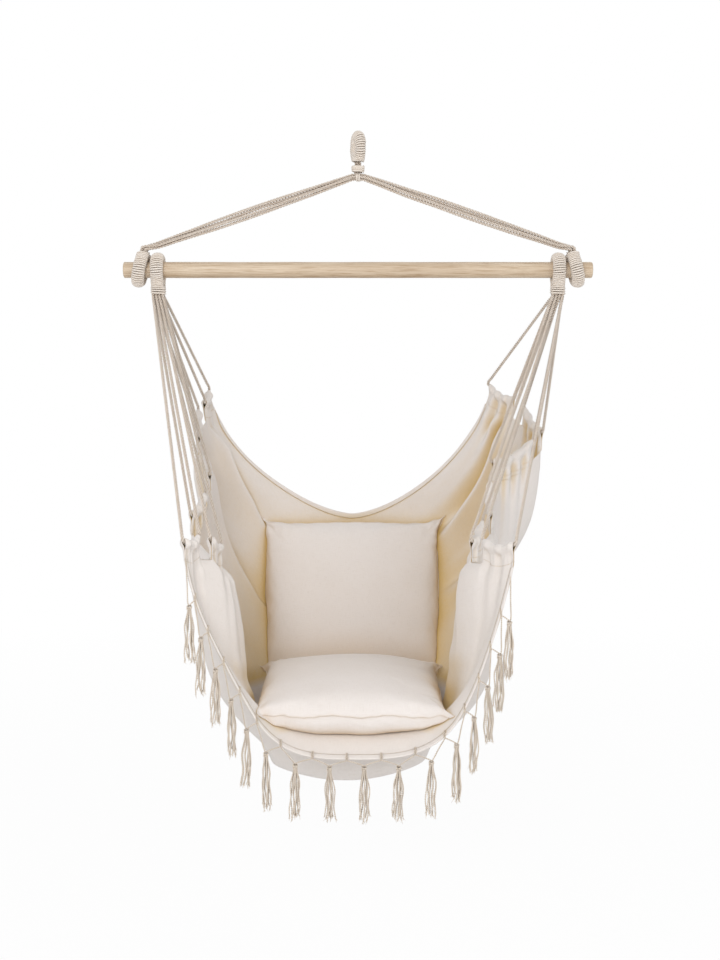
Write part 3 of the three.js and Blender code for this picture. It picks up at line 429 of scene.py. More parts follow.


# The second colour given to each cloth is its painted warm shade for hollows and folds.
CANVAS = cloth_material("canvas", (0.775, 0.725, 0.69), (0.69, 0.49, 0.18), 760.0, 0.42, (0.26, 0.74),
                        (-1.2, -1.165))
CUSHION = cloth_material("cushion_cloth", (0.785, 0.735, 0.705), (0.66, 0.50, 0.32), 900.0, 0.12, (0.15, 0.8),
                         (-1.3, -1.2))
ROPE = yarn_material("rope", (0.86, 0.805, 0.75), (0.42, 0.31, 0.21), 900.0)
WHIPPING_YARN = yarn_material("whipping_yarn", (0.90, 0.85, 0.80), (0.54, 0.44, 0.34), 1100.0)
FRINGE = yarn_material("fringe_yarn", (0.92, 0.86, 0.79), (0.52, 0.41, 0.29), 1300.0)
THREAD = yarn_material("sewing_thread", (0.55, 0.45, 0.35), (0.38, 0.30, 0.22), 1500.0)
HEM_THREAD = yarn_material("hem_thread", (0.68, 0.61, 0.53), (0.52, 0.44, 0.35), 1500.0)
BEECH = beech_material()

# Spreader bar


def make_bar():
    sides = 96
    half = BAR_LENGTH / 2
    edge = 2.5
    stops = [(-half, 0.25), (-half, BAR_RADIUS - edge)]
    stops += [(-half + edge * (1 - math.cos(a)), BAR_RADIUS - edge * (1 - math.sin(a)))
              for a in np.linspace(0.25, math.pi / 2, 5)]
    stops += [(x, BAR_RADIUS) for x in np.linspace(-half + 20, half - 20, 40)]
    stops += [(-x, r) for x, r in reversed(stops[:7])]
    angles = np.arange(sides) * 2 * math.pi / sides
    verts = []
    for x, radius in stops:
        wave = 0.12 * math.sin(x * 0.031) + 0.08 * math.sin(x * 0.083 + 1)
        reach = radius + (wave if radius == BAR_RADIUS else 0)
        ring = np.stack([np.full(sides, x), reach * np.cos(angles), reach * np.sin(angles) - BAR_DROP], axis=1)
        verts.append(ring)
    make_mesh("bar_wood", np.vstack(verts), ring_faces(len(stops), sides), BEECH,
              "bar", ["spreader_bar"], "beech")


make_bar()

# Wound loops


def loop_path(x, neck_height, up, lean):
    reach = math.hypot(LOOP_NECK_HALF, neck_height)
    split = math.atan2(LOOP_NECK_HALF, neck_height) + math.acos(LOOP_RADIUS / reach)
    arc = math.pi - split
    sign = math.copysign(1, x)

    def place(y, h):
        return (x - sign * lean * h * up, y, -BAR_DROP + h * up)

    points = [place(-LOOP_NECK_HALF, neck_height)]
    side, low = LOOP_RADIUS * math.sin(arc), -LOOP_RADIUS * math.cos(arc)
    points.append(place((-LOOP_NECK_HALF - side) / 2, (neck_height + low) / 2))
    for i in range(11):
        angle = -arc + 2 * arc * i / 10
        points.append(place(LOOP_RADIUS * math.sin(angle), -LOOP_RADIUS * math.cos(angle)))
    points.append(place((LOOP_NECK_HALF + side) / 2, (neck_height + low) / 2))
    points.append(place(LOOP_NECK_HALF, neck_height))
    return catmull(points, 8)


def winding(path, half_across, half_radial, side, wire, seed, steps=18, sides=8):
    """Close turns of cord round a path, each turn a little uneven."""
    random = np.random.default_rng(seed)
    total = lengths(path)[-1]
    turns = int(total / (wire * 0.98))
    count = turns * steps
    run = np.linspace(0, total, count + 1)
    centre = at_lengths(path, run)
    tangents = np.gradient(centre, axis=0)
    tangents /= np.linalg.norm(tangents, axis=1, keepdims=True)
    across = side - tangents * (tangents @ side)[:, None]
    across /= np.linalg.norm(across, axis=1, keepdims=True)
    radial = np.cross(tangents, across)
    angle = np.arange(count + 1) * 2 * math.pi / steps
    uneven = np.interp(np.arange(count + 1) / steps, np.arange(turns + 2), random.normal(0, 0.05, turns + 2))
    reach_a = half_across - wire / 2 + uneven * wire
    reach_r = half_radial - wire / 2 + uneven * wire
    line = (centre + across * (np.cos(angle) * reach_a)[:, None] + radial * (np.sin(angle) * reach_r)[:, None])
    return tube(line, wire * 0.52, sides)


def limb_ends(path, half_across, half_radial, side, reach, seed):
    """The rope yarns that stand out of both ends of a winding."""
    random = np.random.default_rng(seed)
    parts = []
    for end, inner in ((path[0], path[6]), (path[-1], path[-7])):
        away = unit(end - inner)
        over = np.cross(away, side)
        for i in range(7):
            angle = 2 * math.pi * i / 6
            far = 0.0 if i == 6 else 0.55
            shift = side * math.cos(angle) * half_across * far + over * math.sin(angle) * half_radial * far
            tip = end + shift + away * (reach * (0.8 + 0.2 * random.random()))
            line = even(catmull([inner + shift, end + shift, tip], 6), 1.5)
            parts.append(tube(line, min(half_across, half_radial) * 0.36, 12, 3, 16.0, i))
    return join(parts)


def make_loops():
    for number, (side, sign) in enumerate(SIDES):
        for kind, body, x, neck, up, lean in (
            ("bearing", "suspension", BEARING_X, BEARING_NECK, 1, BEARING_LEAN),
            ("seat", "seat", SEAT_LOOP_X, SEAT_LOOP_NECK, -1, 0),
        ):
            path = loop_path(sign * x, neck, up, lean)
            name = f"{kind}_loop_{side}"
            turns = winding(path, LOOP_AXIAL_HALF, LOOP_RADIAL_HALF, ALONG_BAR, WHIPPING, number * 7 + len(kind))
            make_mesh(f"{name}_turns", *turns, WHIPPING_YARN, body, [f"{name}_whipping"], "whipping_cord")
            core = tube(even(path, 3), LOOP_RADIAL_HALF - WHIPPING * 1.05, 16)
            ends = limb_ends(path, LOOP_AXIAL_HALF, LOOP_RADIAL_HALF, ALONG_BAR, WHIPPING + 1.6, number)
            make_mesh(f"{name}_yarns", *join([core, ends]), ROPE, body, [f"{name}_core"], "rope")


make_loops()

# Hanging eye and neck

EYE_RADIUS = 11.5
EYE_TURN = math.radians(16)
EYE_HOLE_WIDTH = 17.0
EYE_HOLE_HEIGHT = 36.0


def eye_point(y, z):
    return (-y * math.sin(EYE_TURN), y * math.cos(EYE_TURN), z)


def eye_path():
    bend = EYE_HOLE_WIDTH / 2 + EYE_RADIUS
    top = EYE_RADIUS - bend
    bottom = -EYE_HOLE_HEIGHT
    half = [(EYE_RADIUS * 0.9, bottom), (bend * 0.93, (top + bottom) / 2), (bend, top),
            (bend * math.sqrt(0.5), top + bend * math.sqrt(0.5))]
    points = [eye_point(-y, z) for y, z in half] + [eye_point(0, top + bend)]
    points += [eye_point(y, z) for y, z in reversed(half)]
    return catmull(points, 10)


def make_eye():
    side = np.array((math.cos(EYE_TURN), math.sin(EYE_TURN), 0))
    path = eye_path()
    make_mesh("eye_turns", *winding(path, EYE_RADIUS, EYE_RADIUS, side, WHIPPING, 3), WHIPPING_YARN,
              "hanging_eye", ["eye_whipping"], "whipping_cord")
    core = tube(even(path, 3), EYE_RADIUS - WHIPPING * 1.05, 16)
    parts = [core]
    for i in range(7):
        angle = 2 * math.pi * i / 6
        far = 0.0 if i == 6 else 3.6
        shift = np.array((math.cos(angle), math.sin(angle), 0)) * far
        for end in (path[0], path[-1]):
            start = end + shift * 1.5 + UP * 3
            foot = np.array((0, 0, -NECK_DROP)) + shift * 0.9 + UP * 1.0
            line = even(catmull([start, (start + foot) / 2 + (end - foot) * 0.08, foot], 6), 1.2)
            parts.append(tube(line, 2.0, 12, 3, 12.0, i))
    make_mesh("eye_yarns", *join(parts), ROPE, "hanging_eye", ["eye_core"], "rope")


def round_bundle(top, bottom, radius, strand, count, spread=1.0):
    parts = []
    for i in range(count + 1):
        angle = 2 * math.pi * i / count
        far = 0 if i == count else radius
        points = []
        for share in np.linspace(0, 1, 8):
            turn = angle + share * 1.2
            reach = far * (1 + (spread - 1) * share)
            points.append((reach * math.cos(turn), reach * math.sin(turn), top + (bottom - top) * share))
        parts.append(tube(even(np.array(points), 1.2), strand, 12, 3, 12.0, i))
    return join(parts)


def coil(rings, wire, turns, steps=32):
    """Close turns of cord down a column; rings are (height, half width, half depth) from the top down."""
    rings = np.array(rings)
    line = []
    for k in range(turns * steps + 1):
        share = k / (turns * steps)
        z, wide, deep = (np.interp(share, np.linspace(0, 1, len(rings)), rings[:, j]) for j in range(3))
        angle = 2 * math.pi * k / steps
        c, s = math.cos(angle), math.sin(angle)
        line.append((wide * math.copysign(abs(c) ** 0.8, c), deep * math.copysign(abs(s) ** 0.8, s), z))
    return tube(np.array(line), wire * 0.53, 10)


def turned(points, angle):
    c, s = math.cos(angle), math.sin(angle)
    return points @ np.array(((c, s, 0), (-s, c, 0), (0, 0, 1)))


def make_neck():
    points, faces = coil([(-27, 12.0, 23.5), (-32, 12.2, 19.5), (-37, 12.0, 15.0), (-41.2, 11.2, 12.2)], 3.6, 5)
    make_mesh("eye_binding", turned(points, EYE_TURN), faces, WHIPPING_YARN, "hanging_eye", (), "whipping_cord")
    make_mesh("neck_inner_yarns", *round_bundle(-NECK_DROP + 1.5, -NECK_DROP - 7.5, 5.0, 2.4, 6), ROPE,
              "inner_neck", ["neck_seizing_inner"], "rope")
    bottom = -NECK_DROP - SEIZING_HEIGHT
    make_mesh("neck_outer_yarns", *round_bundle(-NECK_DROP - 8.6, bottom + 0.3, 6.4, 3.2, 7), ROPE,
              "outer_neck", ["neck_seizing_outer"], "rope")
    turns = coil([(-NECK_DROP - 5.4, 12.0, 12.2), (-NECK_DROP - 10, 12.4, 12.4), (bottom + 2, 11.6, 11.6)], 3.6, 4)
    make_mesh("neck_turns", *turns, WHIPPING_YARN, "outer_neck", ["neck_whipping"], "whipping_cord")


make_eye()
make_neck()

# Suspension ropes

STRAND_PLACES = [(1, 0), (0, 1), (0, -1), (-1, 0)]
STRAND_STARTS = [(0.5, 1), (-0.5, 1), (0.5, -1), (-0.5, -1)]
STRAND_RISES = [0.4, 1.2, 0.4, 1.2]
STRAND_ROWS = [0.5, 1.5, -1.5, -0.5]
STRAND_OPENING = [(0.1, 0.25), (0.25, 0.65), (0.5, 1), (0.75, 0.65), (0.9, 0.25)]
STRAND_START_HEIGHT = BEARING_NECK + WHIPPING + 2.2
CROSSING_END = 9.6


def strand_path(sign, index):
    pitch = STRAND_SPACING * math.sqrt(0.5)
    lean = BEARING_LEAN * STRAND_START_HEIGHT
    along, side = STRAND_STARTS[index]
    across, height = STRAND_PLACES[index]
    start = np.array((sign * (BEARING_X - lean - along * STRAND_SPACING), side * LOOP_NECK_HALF,
                      -BAR_DROP + STRAND_START_HEIGHT))
    rise = start + UP * CORD_RADIUS * 2 * STRAND_RISES[index]
    near = np.array((sign * (BEARING_X - lean - CORD_RADIUS * 10), across * pitch,
                     -BAR_DROP + STRAND_START_HEIGHT + CORD_RADIUS * 4.4 + height * pitch))
    end = np.array((sign * CROSSING_END, across * pitch, -BUNDLE_DROP + height * pitch))
    opening = np.array((0, -across * pitch * 0.6, STRAND_ROWS[index] * STRAND_SPACING - height * pitch))
    points = [start - UP * 3, start, rise, near]
    points += [near + (end - near) * share + opening * open_share for share, open_share in STRAND_OPENING]
    return catmull(points + [end], 8)


def make_strands():
    for side, sign in SIDES:
        for index in range(4):
            line = even(strand_path(sign, index), 1.6)
            wander = np.array([[0, noise.noise((x * 0.012, index * 3.1, sign)),
                                noise.noise((x * 0.012, index * 5.3 + 9, sign))] for x in line[:, 0]])
            line = line + wander * 1.2
            name = f"suspension_strand_{side}_{index + 1}"
            make_mesh(f"hang_rope_{side}_{index + 1}", *tube(line, CORD_RADIUS * 1.1, 18, 3, 20.0, index * 2.1),
                      ROPE, "suspension", [name], "rope")
    parts = []
    for index, (across, height) in enumerate(STRAND_PLACES):
        pitch = STRAND_SPACING * math.sqrt(0.5)
        place = np.array((0, across * pitch, -BUNDLE_DROP + height * pitch))
        line = np.array([place + (-10.4, 0, -1.6), place + (-4, 0, 0.2), place + (4, 0, 0.2), place + (10.4, 0, -1.6)])
        parts.append(tube(even(catmull(line, 8), 1.5), CORD_RADIUS * 1.02, 18, 3, 20.0, index))
    wire = 3.2
    ring = []
    for k in range(3 * 24 + 1):
        angle = 2 * math.pi * k / 24
        ring.append((wire * (k / 24 - 1.5), 8.6 * math.cos(angle), -BUNDLE_DROP + 8.2 * math.sin(angle) - 0.4))
    parts.append(tube(np.array(ring), wire * 0.5, 8))
    make_mesh("crossing_seizing", *join(parts), WHIPPING_YARN, "suspension", ["rope_crossing"], "rope")


make_strands()

# Cloth edges and cross sections, as in the solids


def edge_point(row, sign):
    return np.array((sign * row[0] * HALF_SPAN, SEAT_SHIFT + row[1] * HALF_DEPTH, EDGE_TOP - row[2] * EDGE_FALL))


class Section:
    """One channel section: the cord's three points and the directions round it."""

    def __init__(self, sign, index):
        table = LEFT_EDGE if sign < 0 else RIGHT_EDGE
        self.rear = edge_point(table[2 * index], sign)
        self.front = edge_point(table[2 * index + 1], sign)
        self.middle = (self.rear + self.front) / 2 - UP * CHANNEL_SAG
        run = unit((self.front - self.rear) * (1, 1, 0))
        self.outward = np.array((-sign * run[1], sign * run[0], 0))

    def at(self, part):
        """The cord's place at a share of the section, on a soft curve through its three points."""
        chord = self.rear + (self.front - self.rear) * part
        return chord - UP * CHANNEL_SAG * 4 * part * (1 - part)


SECTION = {sign: [Section(sign, i) for i in range(SECTIONS)] for _, sign in SIDES}


def edge_at(sign, share):
    """Edge place, outward direction, section number and share inside it (over 1 in a notch)."""
    index = min(int(share / PITCH_SHARE + 1e-9), SECTIONS - 1)
    inside = share - index * PITCH_SHARE
    section = SECTION[sign][index]
    if inside <= SECTION_SHARE + 1e-9:
        part = min(inside / SECTION_SHARE, 1)
        return section.at(part), section.outward, index, part
    after = SECTION[sign][index + 1]
    part = (inside - SECTION_SHARE) / NOTCH_SHARE
    point = section.front + (after.rear - section.front) * part
    return point, unit(section.outward * (1 - part) + after.outward * part), index, 1 + part


MIDDLE = catmull([(x * HALF_SPAN, SEAT_SHIFT + y * HALF_DEPTH, BACK_HEM - depth * BUCKET_DEPTH)
                  for x, y, depth in MIDDLE_LINE], 12)
MIDDLE_RUN = lengths(MIDDLE)


def middle_at(share):
    return at_lengths(MIDDLE, [min(share, 1) * MIDDLE_RUN[-1]])[0]


def wall_curve(sign, share):
    edge = edge_at(sign, share)[0]
    middle = middle_at(share)
    mean = sign * read_table(LEFT_WALL if sign < 0 else RIGHT_WALL, share) * HALF_SPAN
    power = read_table(ROUNDNESS, share)
    part = np.linspace(0, 1, 61)
    angle = part * math.pi / 2
    wide = np.cos(angle).clip(0) ** (2 / power)
    deep = np.sin(angle) ** (2 / power)
    fold = 1 - smooth(read_table(FOLD_STARTS, share), read_table(FOLD_ENDS, share), deep)
    x = middle[0] + (mean - middle[0]) * wide + (edge[0] - mean) * fold
    y = edge[1] + (middle[1] - edge[1]) * smooth(0, 1, part)
    z = edge[2] + (middle[2] - edge[2]) * deep
    curve = np.stack([x, y, z], axis=1)
    curve[-1] = middle
    return curve


# The folded cloth

ROWS_IN_SECTION = 28
ROWS_IN_NOTCH = 3
WALL_COLUMNS = 40
FLAP_DEPTHS = (44.0, 34.0, 26.0, 19.0, 13.0, 8.0, 3.5)
FOLD_ANGLES = np.linspace(0, math.pi, 9)
PLEATS = {-1: (2.5, 3.0, 2.5, 3.0, 2.5, 2.0), 1: (3.0, 3.5, 4.0, 2.5, 2.5, 2.5)}
PLEAT_DEPTH = {-1: (5.0, 4.5, 5.5, 5.5, 5.0, 3.5), 1: (6.0, 7.0, 7.0, 5.0, 5.0, 4.0)}
CRIMPS = 6.5


def row_shares():
    shares = []
    for index in range(SECTIONS):
        start = index * PITCH_SHARE
        shares += list(start + SECTION_SHARE * np.linspace(0, 1, ROWS_IN_SECTION + 1))
        if index + 1 < SECTIONS:
            shares += list(start + SECTION_SHARE + NOTCH_SHARE * np.arange(1, ROWS_IN_NOTCH) / ROWS_IN_NOTCH)
    return shares


def pleat_wave(sign, index, part, depth):
    """Gathers that hang from the channel, one wave for each pleat."""
    count = PLEATS[sign][index]
    drift = 0.35 * noise.noise((index * 4.7, sign, depth * 0.012))
    return math.sin(2 * math.pi * (count * part + drift) + index * 2.1 + sign)


def ends_of(part, reach):
    """From 0 at both mouths of a channel to 1 in its middle."""
    return smooth(0, reach, part) * smooth(0, reach, 1 - part)


def crimp_wave(sign, index, part):
    drift = 1.3 * noise.noise((part * 3.1, index * 2.3, sign * 5.0))
    return math.sin(2 * math.pi * (CRIMPS * part + drift) + index)


def gather(sign, index, part, depth):
    if part > 1:
        return 0.0
    broad = smooth(4, 26, depth) * math.exp(-max(depth - 26, 0) / 85)
    broad *= PLEAT_DEPTH[sign][index] * (0.4 + 0.6 * ends_of(part, 0.12)) * pleat_wave(sign, index, part, depth)
    crimp = 2.4 * smooth(3, 12, depth) * math.exp(-max(depth - 12, 0) / 26) * crimp_wave(sign, index, part)
    return broad + crimp


def ruffle(sign, index, part):
    """How far the cloth stands proud of the cord where it is pushed together on it."""
    if part > 1:
        return 0.0
    wave = 1.5 + pleat_wave(sign, index, part, 0.0) + 0.8 * crimp_wave(sign, index, part)
    return max(wave, 0.0) * 1.9 * ends_of(part, 0.1)


PANEL_INWARD = {-1: [0, 26, 32, 34, 40, 62, 70, 34, 0], 1: [0, 26, 34, 38, 48, 60, 62, 34, 0]}
PANEL_REACH = 0.8


def panel(sign, share, down):
    """The front panels stand in from the walls behind them, and turn back at a sharp fold."""
    inward = smooth(0.652, 0.69, share) * (1 - smooth(0.74, 0.96, share))
    behind = smooth(0.46, 0.55, share) * (1 - smooth(0.615, 0.655, share))
    hang = smooth(0.02, 0.14, down) * (1 - smooth(0.6, 0.85, down))
    return 18 * behind * hang - inward * read_table(PANEL_INWARD[sign], down / PANEL_REACH)


def low_corner(sign, share, down):
    """The underside stands out a little where the walls turn into it."""
    size = {-1: 15, 1: 26}[sign] * smooth(0.42, 0.54, share) * (1 - smooth(0.78, 0.92, share))
    return size * smooth(0.34, 0.56, down) * (1 - smooth(0.74, 0.98, down))


# Each fold: side, place at the cord and at the middle, width, depth, where it starts and where it ends
FOLDS = [
    (-1, 0.10, 0.135, 0.05, 38, 0.08, 0.7), (-1, 0.205, 0.19, 0.035, 18, 0.03, 0.42),
    (-1, 0.31, 0.27, 0.06, 34, 0.03, 0.8), (1, 0.115, 0.15, 0.05, 40, 0.06, 0.72),
    (1, 0.065, 0.05, 0.03, 22, 0.05, 0.36), (1, 0.26, 0.25, 0.05, 34, 0.04, 0.72),
]


def long_folds(sign, share, down):
    """Folds that hang from the cords: a soft rise, then a steep drop on the side nearer the back."""
    total = 0.0
    for side, top, foot, width, depth, start, end in FOLDS:
        if side == sign:
            place = (top + (foot - top) * down - share) / width
            rise = smooth(-1, 0, place) * (1 - smooth(0, 0.32, place))
            rise -= 0.55 * smooth(0.1, 0.45, place) * (1 - smooth(0.5, 1.3, place))
            total += depth * rise * smooth(start, start + 0.12, down) * (1 - smooth(end - 0.3, end, down))
    return total


def drape(sign, share, depth, total):
    """Broad soft folds that run from the cords down into the seat."""
    down = depth / total
    swing = noise.noise((share * 9.0, down * 1.6, sign * 7.0)) * 9
    swing += noise.noise((share * 21.0, down * 2.4, sign * 3.0 + 40)) * 4.5
    hang = smooth(0.04, 0.16, down) * (1 - smooth(0.62, 0.95, down))
    return swing * hang


def belly(share, x, sign):
    """Soft folds across the underside."""
    level = noise.noise((share * 26.0, x * 0.0035, 11.0)) * 5 + noise.noise((share * 60.0, x * 0.006, 23.0)) * 2
    return level * smooth(0.42, 0.52, share) * (1 - smooth(0.86, 0.93, share))


def half_row(sign, share):
    """One side of a row, from the end of the turned-down flap, over the cord and down to the middle."""
    curve = wall_curve(sign, share)
    total = lengths(curve)[-1]
    edge, outward, index, part = edge_at(sign, share)
    puff = ruffle(sign, index, part)
    radius = FOLD_RADIUS * (0.76 + 0.24 * ends_of(min(part, 1), 0.16))
    rows, flat = [], []

    def layer(depth, side):
        near = LAYER_HALF + (radius - LAYER_HALF + puff) * (1 - smooth(1, 17, depth))
        return at_lengths(curve, [depth])[0] + outward * (gather(sign, index, part, depth) + side * near)

    for depth in FLAP_DEPTHS:
        rows.append(layer(depth, 1))
        flat.append(-depth - 8)
    for angle in FOLD_ANGLES:
        across = outward * (radius + puff) * math.cos(angle)
        rows.append(edge + across + UP * (radius + puff * 0.7) * math.sin(angle))
        flat.append(-8 + 16 * angle / math.pi)
    for depth in FLAP_DEPTHS[::-1]:
        rows.append(layer(depth, -1))
        flat.append(depth + 8)
    for k in range(1, WALL_COLUMNS):
        down = k / WALL_COLUMNS
        depth = CHANNEL_DEPTH + (total - CHANNEL_DEPTH) * down
        slide = drape(sign, share, depth, total) - LAYER_HALF * (1 - down) + panel(sign, share, depth / total)
        bulge = low_corner(sign, share, depth / total)
        slide += bulge - long_folds(sign, share, depth / total)
        place = at_lengths(curve, [depth])[0] + outward * (slide + gather(sign, index, part, depth))
        place[2] += bulge * 0.6 + belly(share, place[0], sign) * smooth(0.55, 0.85, depth / total)
        rows.append(place)
        flat.append(depth + 8)
    middle = middle_at(share)
    middle = middle + UP * belly(share, middle[0], sign)
    return rows, flat, middle, total


NOTCH_COLUMNS = 2 * len(FLAP_DEPTHS) + len(FOLD_ANGLES)


def sling_grid():
    grid, flat = [], []
    for share in row_shares():
        left, left_flat, middle, left_total = half_row(-1, share)
        right, right_flat, _, right_total = half_row(1, share)
        along = share * MIDDLE_RUN[-1]
        grid.append(left + [middle] + right[::-1])
        across = [-left_total + d for d in left_flat] + [0] + [right_total - d for d in right_flat[::-1]]
        flat.append([(x, along) for x in across])
    return np.array(grid), np.array(flat)


def soften(grid, rounds):
    """Evens the cloth along its length without moving the channels."""
    low, high = NOTCH_COLUMNS + 2, grid.shape[1] - NOTCH_COLUMNS - 2
    for _ in range(rounds):
        inner = grid[1:-1, low:high]
        around = (grid[:-2, low:high] + grid[2:, low:high]) / 2
        grid[1:-1, low:high] = inner * 0.5 + around * 0.5
    return grid


def is_notch(row, column, columns):
    inside = row % (ROWS_IN_SECTION + ROWS_IN_NOTCH)
    return inside >= ROWS_IN_SECTION and min(column, columns - 2 - column) < NOTCH_COLUMNS - 1


def make_sling():
    grid, flat = sling_grid()
    grid = soften(grid, 2)
    rows, columns = grid.shape[:2]
    faces = []
    for r in range(rows - 1):
        for c in range(columns - 1):
            if not is_notch(r, c, columns):
                a = r * columns + c
                faces.append((a, a + columns, a + columns + 1, a + 1))
    uvs = flat.reshape(-1, 2) * MM
    cloth = make_mesh("sling_cloth", grid.reshape(-1, 3), faces, CANVAS, "seat", ["sling"], "canvas", uvs)
    thick = cloth.modifiers.new("thickness", "SOLIDIFY")
    thick.thickness = CLOTH * MM
    thick.offset = 0
    fine = cloth.modifiers.new("smooth", "SUBSURF")
    fine.levels = 1
    fine.render_levels = 1
    return cloth, grid


SLING, SLING_GRID = make_sling()


# Hems, seams and stitches on the cloth


def grid_normals(grid):
    along = np.gradient(grid, axis=0)
    across = np.gradient(grid, axis=1)
    normal = np.cross(across, along)
    return normal / np.maximum(np.linalg.norm(normal, axis=2, keepdims=True), 1e-9)


NORMALS = grid_normals(SLING_GRID)
HEM_WIDTH = 20.0


def hem_strip(name, edge_row, inner_rows, columns):
    """A hem folded over the edge of the cloth: both faces and the fold."""
    lines = []
    flat = []
    run = 0.0
    for side in (1, -1):
        rows = inner_rows if side > 0 else inner_rows[::-1]
        for k, row in enumerate(rows):
            near = k / max(len(rows) - 1, 1) if side > 0 else 1 - k / max(len(rows) - 1, 1)
            line = SLING_GRID[row, columns] + NORMALS[row, columns] * side * (1.2 + 0.4 * near)
            lines.append(line)
    middle = len(inner_rows)
    beyond = SLING_GRID[edge_row, columns] - SLING_GRID[inner_rows[-2], columns]
    beyond /= np.linalg.norm(beyond, axis=1, keepdims=True)
    for k, angle in enumerate((0.25, 0.5, 0.75)):
        turn = math.pi * angle
        fold = (SLING_GRID[edge_row, columns] + beyond * 1.7 * math.sin(turn)
                + NORMALS[edge_row, columns] * 1.7 * math.cos(turn))
        lines.insert(middle + k, fold)
    grid = np.array(lines)
    rows, cols = grid.shape[:2]
    flat = np.zeros((rows, cols, 2))
    flat[:, :, 0] = np.concatenate([[0], np.cumsum(np.linalg.norm(np.diff(grid[middle], axis=0), axis=1))])[None, :]
    flat[:, :, 1] = np.linspace(0, HEM_WIDTH * 2, rows)[:, None] + run
    faces = [(r * cols + c, (r + 1) * cols + c, (r + 1) * cols + c + 1, r * cols + c + 1)
             for r in range(rows - 1) for c in range(cols - 1)]
    strip = make_mesh(name, grid.reshape(-1, 3), faces, CANVAS, "seat", (), "canvas", flat.reshape(-1, 2) * MM)
    thick = strip.modifiers.new("thickness", "SOLIDIFY")
    thick.thickness = 0.9 * MM
    thick.offset = 0
    fine = strip.modifiers.new("smooth", "SUBSURF")
    fine.levels = 1
    fine.render_levels = 1
    return strip


def ticks_along(line, normals, lift, spacing, length, radius):
    """Short stitches of thread that lie on a surface."""
    run = lengths(line)
    parts = []
    place = spacing
    while place + length < run[-1]:
        a, b = at_lengths(line, [place, place + length])
        n = unit(at_lengths_of(normals, run, [place])[0])
        middle = (a + b) / 2 + n * (lift + radius * 0.9)
        points = np.array([a + n * (lift - radius), a * 0.75 + b * 0.25 + n * (lift + radius * 0.6), middle,
                           a * 0.25 + b * 0.75 + n * (lift + radius * 0.6), b + n * (lift - radius)])
        parts.append(tube(points, radius, 6))
        place += spacing
    return parts


def at_lengths_of(values, run, wanted):
    return np.stack([np.interp(wanted, run, values[:, k]) for k in range(3)], axis=1)


INNER = slice(NOTCH_COLUMNS - 1, SLING_GRID.shape[1] - NOTCH_COLUMNS + 1)


def make_hems():
    last = SLING_GRID.shape[0] - 1
    front = hem_strip("front_hem", last, [last - 2, last - 1, last], np.arange(INNER.start, INNER.stop))
    rear = hem_strip("rear_hem", 0, [2, 1, 0], np.arange(INNER.start, INNER.stop))
    parts = []
    for row, towards in ((last - 2, last - 1), (2, 1)):
        line = SLING_GRID[row, INNER] * 0.75 + SLING_GRID[towards, INNER] * 0.25
        normal = NORMALS[row, INNER]
        for side in (1, -1):
            parts += ticks_along(line, normal * side, 2.4, 4.2, 3.0, 0.45)
    make_mesh("hem_stitches", *join(parts), HEM_THREAD, "seat", (), "canvas")
    return [front, rear]


def make_channel_stitches():
    parts = []
    columns = SLING_GRID.shape[1]
    for index in range(SECTIONS):
        start = index * (ROWS_IN_SECTION + ROWS_IN_NOTCH)
        rows = np.arange(start, start + ROWS_IN_SECTION + 1)
        for flap, wall in ((1, NOTCH_COLUMNS - 2), (columns - 2, columns - 1 - (NOTCH_COLUMNS - 2))):
            for column in (flap, wall):
                line = SLING_GRID[rows, column]
                normal = NORMALS[rows, column]
                for side in (1, -1):
                    parts += ticks_along(line, normal * side, 0.9, 4.2, 3.0, 0.4)
    make_mesh("channel_stitches", *join(parts), HEM_THREAD, "seat", (), "canvas")


HEMS = make_hems()
make_channel_stitches()

# Seat cords and their necks


def cord_ends(sign):
    ends = []
    for index in range(SECTIONS):
        ends += [((index, 0), SECTION[sign][index].rear), ((index, 1), SECTION[sign][index].front)]
    return ends


def slot_places(sign):
    ends = cord_ends(sign)
    places = {}
    for row in range(SLOT_ROWS):
        in_row = ends[row * SLOT_COLUMNS:(row + 1) * SLOT_COLUMNS]
        in_row.sort(key=lambda end: (end[1][0] - sign * SEAT_LOOP_X) / (-SLOT_DROP - end[1][2]))
        for column, (key, _) in enumerate(in_row):
            places[key] = np.array((sign * SEAT_LOOP_X + (column - (SLOT_COLUMNS - 1) / 2) * SLOT_SPACING,
                                    ((SLOT_ROWS - 1) / 2 - row) * SLOT_SPACING, -SLOT_DROP))
    return places


def cord_leg(slot, mouth, inner):
    out = unit(mouth - inner)
    level = unit(out * (1, 1, 0))
    exit_point = mouth + out * 2
    turn = mouth + level * 4 + UP * 1.5
    lead = mouth + level * 5.5 + UP * 8
    drop = slot - UP * 5
    straight = [drop + (lead - drop) * share for share in (0.06, 0.3, 0.6, 0.94)]
    return [slot + UP * 9, slot, drop, *straight, lead, turn, exit_point]


def make_seat_cords():
    for side, sign in SIDES:
        places = slot_places(sign)
        for index in range(SECTIONS):
            section = SECTION[sign][index]
            down = cord_leg(places[(index, 0)], section.rear, section.middle)
            up = cord_leg(places[(index, 1)], section.front, section.middle)[::-1]
            inside = [section.at(share) for share in (0.12, 0.3, 0.5, 0.7, 0.88)]
            line = even(catmull(down + inside + up, 8), 1.8)
            name = f"seat_cord_{side}_{index + 1}"
            make_mesh(f"rope_{side}_{index + 1}", *tube(line, CORD_RADIUS * 1.2, 18, 3, 20.0, index * 1.7),
                      ROPE, "seat", [name], "rope")


